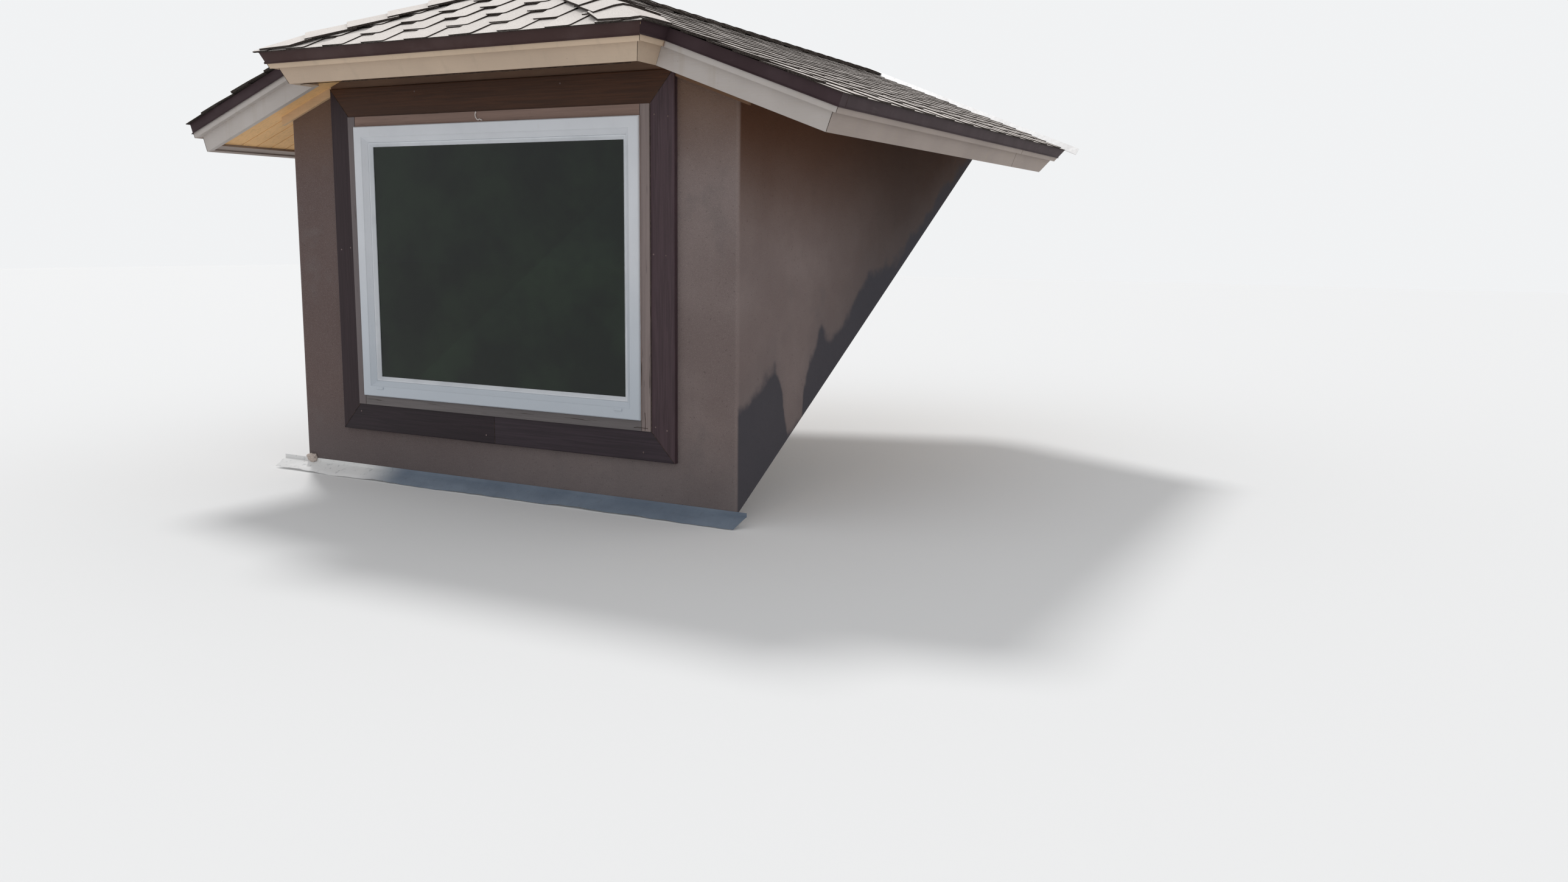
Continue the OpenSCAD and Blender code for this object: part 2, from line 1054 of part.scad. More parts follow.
module outer_head() {
  color([0.23, 0.17, 0.14])
    intersection() {
      translate([-far, face_y, outer_z1])
        rotate([180, -90, 0])
          linear_extrude(2 * far)
            board_section(head_w, outer_out, outer_r);
      front_plate(-far, far)
        outer_top_outline(joint);
    }
}

module sill_bar(x0, x1) {
  intersection() {
    translate([far, face_y, outer_z0])
      rotate([180, 90, 0])
        linear_extrude(2 * far)
          board_section(sill_w, outer_out, outer_r);
    front_plate(-far, far)
      polygon([[joint - outer_x, outer_z0], [outer_x - joint, outer_z0],
               [trim_x - joint, outer_z0 - sill_w],
               [joint - trim_x, outer_z0 - sill_w]]);
    translate([x0, -far, 0])
      cube([x1 - x0, far, far]);
  }
}

module outer_sill_left() {
  color([0.23, 0.17, 0.14])
    sill_bar(-far, seam_x - joint / 2);
}

module outer_sill_right() {
  color([0.23, 0.17, 0.14])
    sill_bar(seam_x + joint / 2, far);
}

module outer_sides() {
  color([0.23, 0.17, 0.14])
    both_sides()
      intersection() {
        translate([-outer_x, face_y, 0])
          rotate([0, 0, 180])
            linear_extrude(far)
              board_section(side_w, outer_out, outer_r);
        front_plate(-far, far)
          polygon([[-outer_x, outer_z0], [-outer_x, outer_z1],
                   [-trim_x, outer_z1 + head_w],
                   [-trim_x, outer_z0 - sill_w]]);
      }
}

// Flashing

// sheet on the main roof in front of the wall, with a low upstand
module apron_flashing() {
  color([0.88, 0.88, 0.86])
    union() {
      rotate([main_pitch, 0, 0])
        translate([-half - apron_left, face_y / cos(main_pitch) - apron_w, 0])
          cube([2 * half + apron_left + apron_right, apron_w - joint, sheet_t]);
      difference() {
        translate([-half, face_y - joint - sheet_t, base_z - apron_up])
          cube([2 * half, sheet_t, 2 * apron_up]);
        below_main();
      }
    }
}

// valley metal: one leg on the main roof, one under the shingles
module valley_leg() {
  a = drip_flange + 4;
  e = slope_l + reach;
  difference() {
    intersection() {
      left_frame()
        linear_extrude(sheet_t)
          polygon([[a, valley_y(a) + valley_in], [a, valley_y(a) - valley_in],
                   [e, valley_y(e) - valley_in], [e, valley_y(e) + valley_in]]);
      left_plan(joint / 2);
    }
    below_main();
  }
}

module valley_flashings() {
  cm = cos(main_pitch);
  x1 = eave_x + valley_out;
  s0 = valley_y(slope_l) / cm;
  s1 = valley_y(-valley_out / ct) / cm;
  color([0.9, 0.9, 0.88])
    both_sides()
      union() {
        valley_leg();
        rotate([main_pitch, 0, 0])
          linear_extrude(sheet_t)
            polygon([[-joint / 2, s0], [-x1, s1], [-x1, s1 + valley_w],
                     [-joint / 2, s0 + valley_w]]);
      }
}

front_wall();
left_cheek();
right_cheek();
ridge_board();
left_rafters();
right_rafters();
hip_rafters();
front_rafters();
left_deck();
right_deck();
front_deck();
left_shingles();
right_shingles();
front_shingles();
ridge_caps();
left_hip_caps();
right_hip_caps();
front_fascia();
return_fascias();
rake_fascias();
eave_fascias();
sub_fascias();
front_mould();
return_moulds();
rake_moulds();
eave_moulds();
front_drip();
return_drips();
rake_drips();
eave_drips();
front_soffit();
rake_soffits();
eave_soffits();
front_frieze();
rake_friezes();
window_frame();
glazing_bead();
glass();
weep_covers();
inner_head();
inner_sill();
inner_sides();
outer_head();
outer_sides();
outer_sill_left();
outer_sill_right();
apron_flashing();
valley_flashings();
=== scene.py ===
import math
import random

import bmesh
import bpy
from mathutils import Matrix, Vector, noise


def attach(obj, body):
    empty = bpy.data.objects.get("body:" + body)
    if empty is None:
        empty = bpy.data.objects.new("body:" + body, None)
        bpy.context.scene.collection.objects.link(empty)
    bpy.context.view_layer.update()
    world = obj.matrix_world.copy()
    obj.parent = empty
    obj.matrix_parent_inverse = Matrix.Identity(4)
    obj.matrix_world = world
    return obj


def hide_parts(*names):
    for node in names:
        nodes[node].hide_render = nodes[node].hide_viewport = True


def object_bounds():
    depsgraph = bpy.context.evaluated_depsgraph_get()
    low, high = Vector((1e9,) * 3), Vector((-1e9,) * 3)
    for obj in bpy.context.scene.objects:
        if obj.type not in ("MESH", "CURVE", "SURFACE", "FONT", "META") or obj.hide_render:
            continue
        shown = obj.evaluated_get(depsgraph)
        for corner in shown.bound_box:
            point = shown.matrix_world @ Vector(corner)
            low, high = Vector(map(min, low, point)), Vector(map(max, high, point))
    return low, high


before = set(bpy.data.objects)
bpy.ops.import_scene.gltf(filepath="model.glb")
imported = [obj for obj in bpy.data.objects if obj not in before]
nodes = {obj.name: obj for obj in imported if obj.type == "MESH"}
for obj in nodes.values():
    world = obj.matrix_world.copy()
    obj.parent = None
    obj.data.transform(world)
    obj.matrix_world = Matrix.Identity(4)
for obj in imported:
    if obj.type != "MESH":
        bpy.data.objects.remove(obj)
cad_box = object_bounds()

# Camera and light. The camera stands to the right of the front and a little
# above the middle of the window. A plain pale sky and one broad lamp from
# behind on the left light the object, and the floor lies under its lowest edge.
view = bpy.context.scene.view_settings
view.view_transform = "Standard"

CAMERA_STAND = Matrix(((0.88483, -0.08576, 0.45796, 3.1466),
                       (0.46575, 0.13646, -0.87433, -3.7181),
                       (0.01249, 0.98693, 0.16068, 0.9133),
                       (0, 0, 0, 1)))

camera = bpy.data.objects.new("camera", bpy.data.cameras.new("camera"))
camera.data.sensor_width = 36
camera.data.lens = 28.39
camera.data.clip_end = 100
camera.matrix_world = CAMERA_STAND
bpy.context.scene.collection.objects.link(camera)
bpy.context.scene.camera = camera


def add(tree, kind, inputs=(), **settings):
    """A shader node, with its settings, its values and its links."""
    made = tree.nodes.new("ShaderNode" + kind)
    for name, value in settings.items():
        setattr(made, name, value)
    for name, value in dict(inputs).items():
        if isinstance(value, bpy.types.NodeSocket):
            tree.links.new(value, made.inputs[name])
        else:
            made.inputs[name].default_value = value
    return made


sky = bpy.data.worlds.new("sky")
bpy.context.scene.world = sky
sky.use_nodes = True
sky.node_tree.nodes.clear()
ray = add(sky.node_tree, "LightPath").outputs
seen = ray["Is Camera Ray"]
for also in ("Is Transmission Ray", "Is Glossy Ray"):
    seen = add(sky.node_tree, "Math", {0: seen, 1: ray[also]}, operation="MAXIMUM").outputs[0]
plain = add(sky.node_tree, "Background", {"Color": (0.97, 0.98, 1.0, 1), "Strength": 0.72})
shown = add(sky.node_tree, "Background", {"Color": (0.88, 0.89, 0.90, 1), "Strength": 1.0})
mixed = add(sky.node_tree, "MixShader", {0: seen, 1: plain.outputs[0], 2: shown.outputs[0]})
add(sky.node_tree, "OutputWorld", {"Surface": mixed.outputs[0]})

lamp = bpy.data.objects.new("lamp", bpy.data.lights.new("lamp", "SUN"))
lamp.data.energy = 1.7
lamp.data.angle = math.radians(9)
light_way = Vector((0.50, -0.42, -0.80))
lamp.rotation_euler = light_way.to_track_quat("-Z", "Y").to_euler()
bpy.context.scene.collection.objects.link(lamp)

bm = bmesh.new()
bmesh.ops.create_grid(bm, x_segments=1, y_segments=1, size=30)
bmesh.ops.translate(bm, verts=bm.verts, vec=(0, 0, cad_box[0].z - 0.002))
floor = bpy.data.objects.new("floor", bpy.data.meshes.new("floor"))
bm.to_mesh(floor.data)
bm.free()
bpy.context.scene.collection.objects.link(floor)
pale = bpy.data.materials.new("pale_floor")
pale.use_nodes = True
shader = pale.node_tree.nodes["Principled BSDF"]
shader.inputs["Base Color"].default_value = (0.76, 0.76, 0.755, 1)
shader.inputs["Roughness"].default_value = 0.9
floor.data.materials.append(pale)


# Walls. Framed walls under sand-finish stucco in a brown grey, trowelled by
# hand and rounded at the corners. Rain has left patches and streaks on them,
# and a damp grey stain along the slope at the foot of the cheeks.
def finish(name, roughness, specular):
    """A material with its node tree, its shader and the object's coordinates."""
    made = bpy.data.materials.new(name)
    made.use_nodes = True
    tree = made.node_tree
    shader = tree.nodes["Principled BSDF"]
    shader.inputs["Roughness"].default_value = roughness
    shader.inputs["Specular IOR Level"].default_value = specular
    return made, tree, shader, add(tree, "TexCoord").outputs["Object"]


def cloud(tree, place, scale, detail=4, stretch=(1, 1, 1), at=(0, 0, 0), rough=0.55, twist=0):
    """Noise with features of about 1 / scale metres, drawn out by stretch."""
    moved = add(tree, "Mapping", {"Vector": place, "Scale": stretch, "Location": at})
    return add(tree, "TexNoise", {"Vector": moved.outputs[0], "Scale": scale, "Detail": detail,
                                  "Roughness": rough, "Distortion": twist}).outputs["Fac"]


def between(tree, value, start, end, to=(0, 1)):
    """The value's step from start to end, smoothed."""
    return add(tree, "MapRange", {"Value": value, "From Min": start, "From Max": end,
                                  "To Min": to[0], "To Max": to[1]},
               interpolation_type="SMOOTHSTEP").outputs[0]


def maths(tree, operation, a, b=0.0, c=0.0):
    """The result of one sum."""
    return add(tree, "Math", {0: a, 1: b, 2: c}, operation=operation).outputs[0]


def blend(tree, share, a, b, kind="MIX"):
    """Colour a turning into colour b by the share."""
    made = add(tree, "Mix", data_type="RGBA", blend_type=kind)
    for number, value in ((0, share), (6, a), (7, b)):
        if isinstance(value, bpy.types.NodeSocket):
            tree.links.new(value, made.inputs[number])
        else:
            made.inputs[number].default_value = value if number == 0 else (*value, 1)
    return made.outputs[2]


def colour(tree, shader, tint):
    """The tint goes to the shader's colour."""
    tree.links.new(tint, shader.inputs["Base Color"])


def relief(tree, shader, *layers):
    """Bumps in the shader's normal, each a height pattern with its depth in metres."""
    normal = None
    for height, depth in layers:
        bump = add(tree, "Bump", {"Height": height, "Distance": depth, "Strength": 1.0})
        if normal:
            tree.links.new(normal, bump.inputs["Normal"])
        normal = bump.outputs[0]
    tree.links.new(normal, shader.inputs["Normal"])


def along(tree, place, direction):
    """How far a point lies along a direction."""
    return add(tree, "VectorMath", {0: place, 1: direction}, operation="DOT_PRODUCT").outputs["Value"]


def near(tree, place, point, inner, outer, strength=1.0):
    """A soft spot round a point, from the strength inside to nothing outside."""
    apart = add(tree, "VectorMath", {0: place, 1: point}, operation="DISTANCE").outputs["Value"]
    return between(tree, apart, inner, outer, (strength, 0))


MAIN_PITCH = math.radians(30.25)
UP_FROM_ROOF = (0, -math.sin(MAIN_PITCH), math.cos(MAIN_PITCH))
HALF_WALL = 1.050
CHEEK_FROM, CHEEK_STAIN_TO = -0.065, 1.435

stucco, tree, shader, place = finish("stucco", 0.94, specular=0.08)
spot = add(tree, "SeparateXYZ", {0: place}).outputs
aside = maths(tree, "ABSOLUTE", spot["X"])
above = along(tree, place, UP_FROM_ROOF)
outer_side = between(tree, aside, HALF_WALL - 0.020, HALF_WALL - 0.008)
on_cheek = maths(tree, "MULTIPLY", between(tree, spot["Y"], -0.064, -0.052), outer_side)
on_front = between(tree, spot["Y"], -0.052, -0.064)

broad = between(tree, cloud(tree, place, 2.6, 5), 0.33, 0.68)
tint = blend(tree, broad, (0.190, 0.148, 0.140), (0.232, 0.186, 0.176))
# Painted shade: the wall darker towards the left.
painted_shade_left = between(tree, spot["X"], -1.05, 0.55, (0.75, 0))
tint = blend(tree, painted_shade_left, tint, (0.112, 0.076, 0.071))
streaks = between(tree, cloud(tree, place, 5.0, 5, stretch=(1, 1, 0.14), twist=0.4), 0.50, 0.74)
tint = blend(tree, maths(tree, "MULTIPLY", streaks, 0.38), tint, (0.165, 0.134, 0.128))
blots = between(tree, cloud(tree, place, 8.0, 6, at=(3, 1, 2)), 0.56, 0.74)
tint = blend(tree, maths(tree, "MULTIPLY", blots, 0.40), tint, (0.160, 0.136, 0.132))
grains = cloud(tree, place, 520, 2)
tint = blend(tree, between(tree, grains, 0.56, 0.72, (0, 0.50)), tint, (0.10, 0.08, 0.075))
tint = blend(tree, between(tree, grains, 0.44, 0.30, (0, 0.45)), tint, (0.40, 0.35, 0.335))
pits = cloud(tree, place, 130, 2, at=(2, 7, 1))
tint = blend(tree, between(tree, pits, 0.685, 0.72, (0, 0.55)), tint, (0.075, 0.06, 0.055))

# Painted shade: warm dark brown high on the cheeks, under the eaves.
painted_eave_shade_cheek = maths(tree, "MULTIPLY", between(tree, spot["Z"], 0.80, 1.34, (0, 0.88)), on_cheek)
tint = blend(tree, painted_eave_shade_cheek, tint, (0.080, 0.032, 0.013))
# Painted shade: warm brown at the top of the front wall, under the eave.
painted_eave_shade_front = maths(tree, "MULTIPLY", between(tree, spot["Z"], 1.05, 1.50, (0, 0.75)), on_front)
tint = blend(tree, painted_eave_shade_front, tint, (0.150, 0.085, 0.050))
# Painted highlight: a pale line down the rounded corners where front and cheeks meet.
near_corner = between(tree, aside, HALF_WALL - 0.014, HALF_WALL - 0.004)
painted_corner_highlight = maths(tree, "MULTIPLY", near_corner, between(tree, spot["Y"], -0.046, -0.058, (0, 0.20)))
tint = blend(tree, painted_corner_highlight, tint, (0.30, 0.24, 0.225))
# Painted shade: the cheeks darker towards their far end, under the eaves.
painted_far_shade_cheek = maths(tree, "MULTIPLY", between(tree, spot["Y"], 0.25, 1.45, (0, 0.76)), on_cheek)
tint = blend(tree, painted_far_shade_cheek, tint, (0.046, 0.034, 0.031))

# How high the damp stands over the slope, by shares of the way along a cheek.
DAMP_HEIGHTS = [(0.0, 0.30), (0.05, 0.29), (0.087, 0.30), (0.115, 0.20), (0.14, 0.09), (0.155, 0.02),
                (0.25, 0.0), (0.265, 0.07), (0.30, 0.13), (0.35, 0.16), (0.40, 0.21), (0.47, 0.13),
                (0.56, 0.12), (0.75, 0.13), (0.86, 0.14), (1.0, 0.05)]
band = add(tree, "ValToRGB", {0: between(tree, spot["Y"], CHEEK_FROM, CHEEK_STAIN_TO)})
stops = band.color_ramp.elements
while len(stops) < len(DAMP_HEIGHTS):
    stops.new(0.5)
for stop, (share, tall) in zip(stops, DAMP_HEIGHTS):
    stop.position = share
    stop.color = (tall, tall, tall, 1)
ragged = maths(tree, "SUBTRACT", cloud(tree, place, 9, 4, rough=0.5), 0.5)
edge = maths(tree, "MULTIPLY_ADD", ragged, 0.13, band.outputs[0])
over = maths(tree, "SUBTRACT", above, edge)
damp = maths(tree, "MULTIPLY", between(tree, over, 0.026, -0.022), on_cheek)
halo = maths(tree, "MULTIPLY", between(tree, over, 0.16, 0.0, (0, 0.22)), on_cheek)
tint = blend(tree, halo, tint, (0.13, 0.115, 0.118))
low_front = maths(tree, "MULTIPLY", between(tree, spot["Z"], 0.30, -0.02, (0, 0.42)), on_front)
tint = blend(tree, low_front, tint, (0.115, 0.112, 0.118))
tint = blend(tree, maths(tree, "MULTIPLY", damp, 0.84), tint, (0.052, 0.053, 0.065))
colour(tree, shader, tint)
waves, trowelled = cloud(tree, place, 5, 4), cloud(tree, place, 60, 3)
relief(tree, shader, (waves, 0.010), (trowelled, 0.0016), (grains, 0.0016), (pits, 0.0012))


def dress(material, *names):
    """A CAD node keeps its shape and gets this material."""
    for name in names:
        mesh = nodes[name].data
        mesh.materials.clear()
        mesh.materials.append(material)


dress(stucco, "front_wall", "left_cheek", "right_cheek")


# Roof frame and roof boards. Sawn softwood rafters, hip rafters and ridge
# board, nailed together and left bare, with boards across them. They show
# only from below, between the cheeks.
def sawn(name, direction, pale_tone, dark_tone):
    """Bare softwood with its grain along a direction."""
    made, tree, shader, place = finish(name, 0.8, specular=0.25)
    stretch = [0.06 if abs(direction[i]) > 0.5 else 1.0 for i in range(3)]
    grain = cloud(tree, place, 90, 6, stretch=stretch, twist=1.2)
    tint = blend(tree, between(tree, grain, 0.35, 0.65), pale_tone, dark_tone)
    weathered = between(tree, cloud(tree, place, 2.5, 3), 0.4, 0.7, (0, 0.4))
    tint = blend(tree, weathered, tint, (0.30, 0.22, 0.15))
    knots = between(tree, cloud(tree, place, 5, 2, at=(5, 2, 1)), 0.70, 0.74)
    tint = blend(tree, maths(tree, "MULTIPLY", knots, 0.7), tint, (0.16, 0.09, 0.05))
    colour(tree, shader, tint)
    relief(tree, shader, (grain, 0.0008))
    return made


lumber_across = sawn("lumber_across", (1, 0, 0), (0.60, 0.45, 0.29), (0.45, 0.31, 0.18))
lumber_along = sawn("lumber_along", (0, 1, 0), (0.58, 0.43, 0.27), (0.43, 0.29, 0.17))
roof_boards = sawn("sheathing", (0, 1, 0), (0.55, 0.40, 0.25), (0.42, 0.29, 0.17))
dress(lumber_across, "left_rafters", "right_rafters")
dress(lumber_along, "ridge_board", "hip_rafters", "front_rafters")
dress(roof_boards, "left_deck", "right_deck", "front_deck")


# Roof slopes. Both sides slope alike and the front hip is steeper, so that
# the hips run nearer to the front in plan. All roofing follows these planes.
SIDE_PITCH, FRONT_PITCH = math.radians(20.3), math.radians(26)
CT, ST, TT = math.cos(SIDE_PITCH), math.sin(SIDE_PITCH), math.tan(SIDE_PITCH)
CF, SF = math.cos(FRONT_PITCH), math.sin(FRONT_PITCH)
EAVE_X, EAVE_Z = 1.470, 1.36281
RAKE_Y, FRONT_Y, FRONT_HALF = -0.180, -0.346, 0.8426
HIP_RUN = TT * CF / SF
HIP_Y = FRONT_Y + HIP_RUN * FRONT_HALF
RIDGE_Z = EAVE_Z + EAVE_X * TT
FRONT_Z = RIDGE_Z - FRONT_HALF * TT
RETURN_U = (EAVE_X - FRONT_HALF) / CT


def basis(origin, x, y, z):
    """A slope's own space: its origin and its three directions."""
    return Matrix.Translation(origin) @ Matrix((x, y, z)).transposed().to_4x4()


left_slope = basis((-EAVE_X, 0, EAVE_Z), (0, 1, 0), (CT, 0, ST), (-ST, 0, CT))
right_slope = basis((EAVE_X, 0, EAVE_Z), (0, 1, 0), (-CT, 0, ST), (ST, 0, CT))
front_slope = basis((0, FRONT_Y, FRONT_Z), (1, 0, 0), (0, CF, SF), (0, -SF, CF))


def bead(bm, points, radius, sides=6):
    """A thin round thread through the points."""
    before = None
    for i, p in enumerate(points):
        ahead = points[min(i + 1, len(points) - 1)] - points[max(i - 1, 0)]
        turn = Matrix.Translation(p) @ ahead.to_track_quat("Z", "X").to_matrix().to_4x4()
        ring = bmesh.ops.create_circle(bm, cap_ends=i in (0, len(points) - 1), segments=sides,
                                       radius=radius, matrix=turn)["verts"]
        loop = list({e for v in ring for e in v.link_edges})
        if before:
            bmesh.ops.bridge_loops(bm, edges=before + loop)
        before = loop


def place_piece(name, bm, material, replaced=()):
    """Puts a finished mesh on the dormer as a piece of its own."""
    bmesh.ops.recalc_face_normals(bm, faces=bm.faces[:])
    made = bpy.data.objects.new(name, bpy.data.meshes.new(name))
    bm.to_mesh(made.data)
    bm.free()
    for one in material if isinstance(material, list) else [material]:
        made.data.materials.append(one)
    bpy.context.scene.collection.objects.link(made)
    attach(made, "root")
    if replaced:
        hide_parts(*replaced)
    return made


# Fascias and upper mouldings. Pine boards nailed to the rafter ends all round
# the eaves, mitred at the corners and brushed in cream. The paint is dull,
# with faint drips and dirt, and rust has run out of one mitre.
RUST_SPOTS = (((0.838, -0.200, 1.545), 0.013, 0.85), ((0.834, -0.198, 1.520), 0.010, 0.60),
              ((-0.345, -0.368, 1.523), 0.005, 0.80))


def eave_paint(name, tone, shade):
    """Brushed paint with drips, specks and the rust that ran out of a joint."""
    made, tree, shader, place = finish(name, 0.62, specular=0.35)
    tint = blend(tree, between(tree, cloud(tree, place, 2.2, 4), 0.35, 0.7), tone, shade)
    drips = between(tree, cloud(tree, place, 26, 4, stretch=(1, 1, 0.08)), 0.52, 0.74)
    tint = blend(tree, maths(tree, "MULTIPLY", drips, 0.22), tint, (0.36, 0.29, 0.22))
    brush = cloud(tree, place, 220, 3, stretch=(0.05, 0.05, 1))
    tint = blend(tree, between(tree, brush, 0.4, 0.7, (0, 0.10)), tint, (0.42, 0.35, 0.27))
    specks = between(tree, cloud(tree, place, 160, 2, at=(1, 4, 2)), 0.72, 0.78)
    tint = blend(tree, maths(tree, "MULTIPLY", specks, 0.5), tint, (0.16, 0.12, 0.09))
    drawn_down = add(tree, "Mapping", {"Vector": place, "Scale": (1, 1, 0.5)}).outputs[0]
    for (x, y, z), size, strength in RUST_SPOTS:
        rust = near(tree, drawn_down, (x, y, z * 0.5), size * 0.3, size * 1.2, strength)
        tint = blend(tree, rust, tint, (0.19, 0.075, 0.03))
    colour(tree, shader, tint)
    relief(tree, shader, (brush, 0.0005), (cloud(tree, place, 12, 3), 0.002))
    return made


# Painted light and shade: the front boards get a warmer, lighter copy of the cream as painted bounced
# light, the rakes a cooler copy and the side eaves a darker copy as painted shade.
front_paint_lit = eave_paint("fascia_paint_front_lit", (0.56, 0.435, 0.325), (0.50, 0.385, 0.29))
mould_paint = eave_paint("fascia_paint_mould", (0.62, 0.475, 0.345), (0.56, 0.43, 0.31))
side_paint_shaded = eave_paint("fascia_paint_sides_shaded", (0.50, 0.460, 0.435), (0.44, 0.40, 0.375))
eave_tone_shaded = eave_paint("fascia_paint_eaves_shaded", (0.355, 0.295, 0.262), (0.305, 0.252, 0.224))
dress(front_paint_lit, "front_fascia", "return_fascias")
dress(mould_paint, "front_mould", "return_moulds")
dress(side_paint_shaded, "rake_fascias", "rake_moulds")
dress(eave_tone_shaded, "eave_fascias", "sub_fascias", "eave_moulds")


# Joints in the eave boards. Butted and mitred ends show as dark hairlines
# where the paint has cracked, at the corners and once along each side eave.
def two_tone(name, roughness, specular, scale, span, tone, shade):
    """A plain finish that wanders between two tones."""
    made, tree, shader, place = finish(name, roughness, specular)
    grain = cloud(tree, place, scale, 3)
    colour(tree, shader, blend(tree, between(tree, grain, *span), tone, shade))
    return made


def on_side(s, u, y, v):
    """A point on a side slope: u up from the deck's edge, v square to it."""
    return Vector((s * (EAVE_X - u * CT + v * ST), y, EAVE_Z + u * ST + v * CT))


def front_corner(s, drop, out):
    """A point on the arris where front and return boards meet, drop below the deck."""
    return Vector((s * (FRONT_HALF - drop * TT + out / CT),
                   FRONT_Y + drop * SF / CF - out / CF, FRONT_Z - drop))


FASCIA_SPAN, MOULD_SPAN, MOULD_OUT = (-0.063, -0.1262), (-0.043, -0.0605), 0.022
SPLICES = ((0.0002, 1.70, (-0.063, -0.1265), 0.0008), (-0.0218, 1.70, MOULD_SPAN, 0.0008),
           (-0.0237, -0.155, (0.0, -0.036), 0.0007))

shut_line = two_tone("joint_shadow", 0.9, 0.1, 60, (0.4, 0.7),
                     (0.030, 0.022, 0.018), (0.090, 0.065, 0.050))
bm = bmesh.new()
for s in (-1, 1):
    for u, y, span, radius in SPLICES:
        bead(bm, [on_side(s, u, y, v) for v in span], radius)
    for span, out in ((FASCIA_SPAN, 0.0), (MOULD_SPAN, MOULD_OUT)):
        bead(bm, [on_side(s, -out, RAKE_Y - out, v) for v in span], 0.0009)
        bead(bm, [on_side(s, RETURN_U - out, RAKE_Y - out, v) for v in span], 0.0004)
        bead(bm, [front_corner(s, out * ST - v * CT, out) for v in span], 0.0009)
place_piece("eave_joint_lines", bm, shut_line)


# Drip edge. Steel sheet with a dark brown coat, bent over the roof's edge,
# its lower hem kicked out. It is hooked under the shingles and nailed to the
# deck, and has small dents and a little chalking.
def coat(name, tone, shade):
    """Factory coat on sheet steel, a little chalky."""
    made, tree, shader, place = finish(name, 0.55, specular=0.13)
    tint = blend(tree, between(tree, cloud(tree, place, 6, 4), 0.35, 0.7), tone, shade)
    chalk = between(tree, cloud(tree, place, 40, 5, stretch=(0.2, 0.2, 1)), 0.55, 0.8, (0, 0.25))
    tint = blend(tree, chalk, tint, (0.115, 0.085, 0.085))
    colour(tree, shader, tint)
    relief(tree, shader, (cloud(tree, place, 7, 2), 0.003))
    return made


front_coat = coat("drip_metal_front", (0.056, 0.030, 0.028), (0.074, 0.045, 0.043))
# Painted shade: the rakes and side eaves get a darker, bluer copy of the front's brown coat.
side_coat_shaded = coat("drip_metal_sides_shaded", (0.040, 0.023, 0.026), (0.054, 0.034, 0.038))
dress(front_coat, "front_drip")
dress(side_coat_shaded, "return_drips", "rake_drips", "eave_drips")


# Soffits and friezes. Smooth boards under the front and the rakes, grooved
# boards across the side eaves, and a strip on the wall under them, all
# painted tan. The tan carries painted light and shade: light orange under the
# rakes and side eaves as painted bounced light, dark brown under the front
# and on the right frieze as painted shade.
def tan_paint(name, tone, shade, right_shade_painted=None):
    """Dull tan paint over a fine grain, with painted shade on the right if given."""
    made, tree, shader, place = finish(name, 0.75, specular=0.3)
    tint = blend(tree, between(tree, cloud(tree, place, 4, 5), 0.35, 0.7), tone, shade)
    if right_shade_painted:
        across = add(tree, "SeparateXYZ", {0: place}).outputs["X"]
        tint = blend(tree, between(tree, across, 0.5, 0.8), tint, right_shade_painted)
    grain = cloud(tree, place, 130, 4, stretch=(0.06, 1, 1))
    tint = blend(tree, between(tree, grain, 0.45, 0.75, (0, 0.2)), tint, (0.20, 0.14, 0.09))
    colour(tree, shader, tint)
    relief(tree, shader, (grain, 0.0006))
    return made


# Painted bounced light on the side copy; painted shade on the front copy and the right frieze.
side_tan_lit = tan_paint("soffit_paint", (0.84, 0.52, 0.24), (0.74, 0.45, 0.20))
front_tan_shaded = tan_paint("soffit_paint_front_shaded", (0.150, 0.085, 0.054), (0.120, 0.068, 0.044))
frieze_tan = tan_paint("frieze_paint", (0.62, 0.42, 0.25), (0.53, 0.36, 0.21), (0.150, 0.085, 0.050))
dress(side_tan_lit, "rake_soffits", "eave_soffits")
dress(front_tan_shaded, "front_soffit", "front_frieze")
dress(frieze_tan, "rake_friezes")

SOFFIT_FRONT_Y, SOFFIT_Z = -0.2685, 1.4752
rng = random.Random(5)
bm = bmesh.new()
bead(bm, [Vector((x / 100, SOFFIT_FRONT_Y, SOFFIT_Z + rng.uniform(-0.0006, 0.0006)))
          for x in range(-76, 77, 4)], 0.0014)
place_piece("soffit_front_joint", bm, shut_line)


# Shingles. Heavy felt shingles with mineral granules, nailed in courses. Each
# strip has teeth that narrow downwards, and the gaps between them show the
# strip below. They are cut along hips and valleys, and their edges are black.
OVERHANG, COURSE, TOP_OF_DECK = 0.036, 0.104, 0.0021
TOOTH_WIDTHS, GAP_WIDTHS, BAND_STEP = (0.119, 0.133), (0.066, 0.082), 0.31
SIDE_COURSES, FRONT_COURSES, PATTERN, STARTER_UP = 16, 8, 0.2, 0.002

granules, tree, shader, place = finish("granules", 0.95, specular=0.15)
shader.inputs["Sheen Weight"].default_value = 0.9
shader.inputs["Sheen Roughness"].default_value = 0.6
shader.inputs["Sheen Tint"].default_value = (1.0, 0.93, 0.88, 1)
tab_tone = add(tree, "Attribute", attribute_name="tone").outputs["Fac"]
up_course = add(tree, "Attribute", attribute_name="rise").outputs["Fac"]
tint = blend(tree, tab_tone, (0.470, 0.415, 0.372), (0.655, 0.590, 0.535))
spot = add(tree, "SeparateXYZ", {0: place}).outputs
behind_hips = maths(tree, "MULTIPLY_ADD", maths(tree, "ABSOLUTE", spot["X"]), HIP_RUN, spot["Y"])
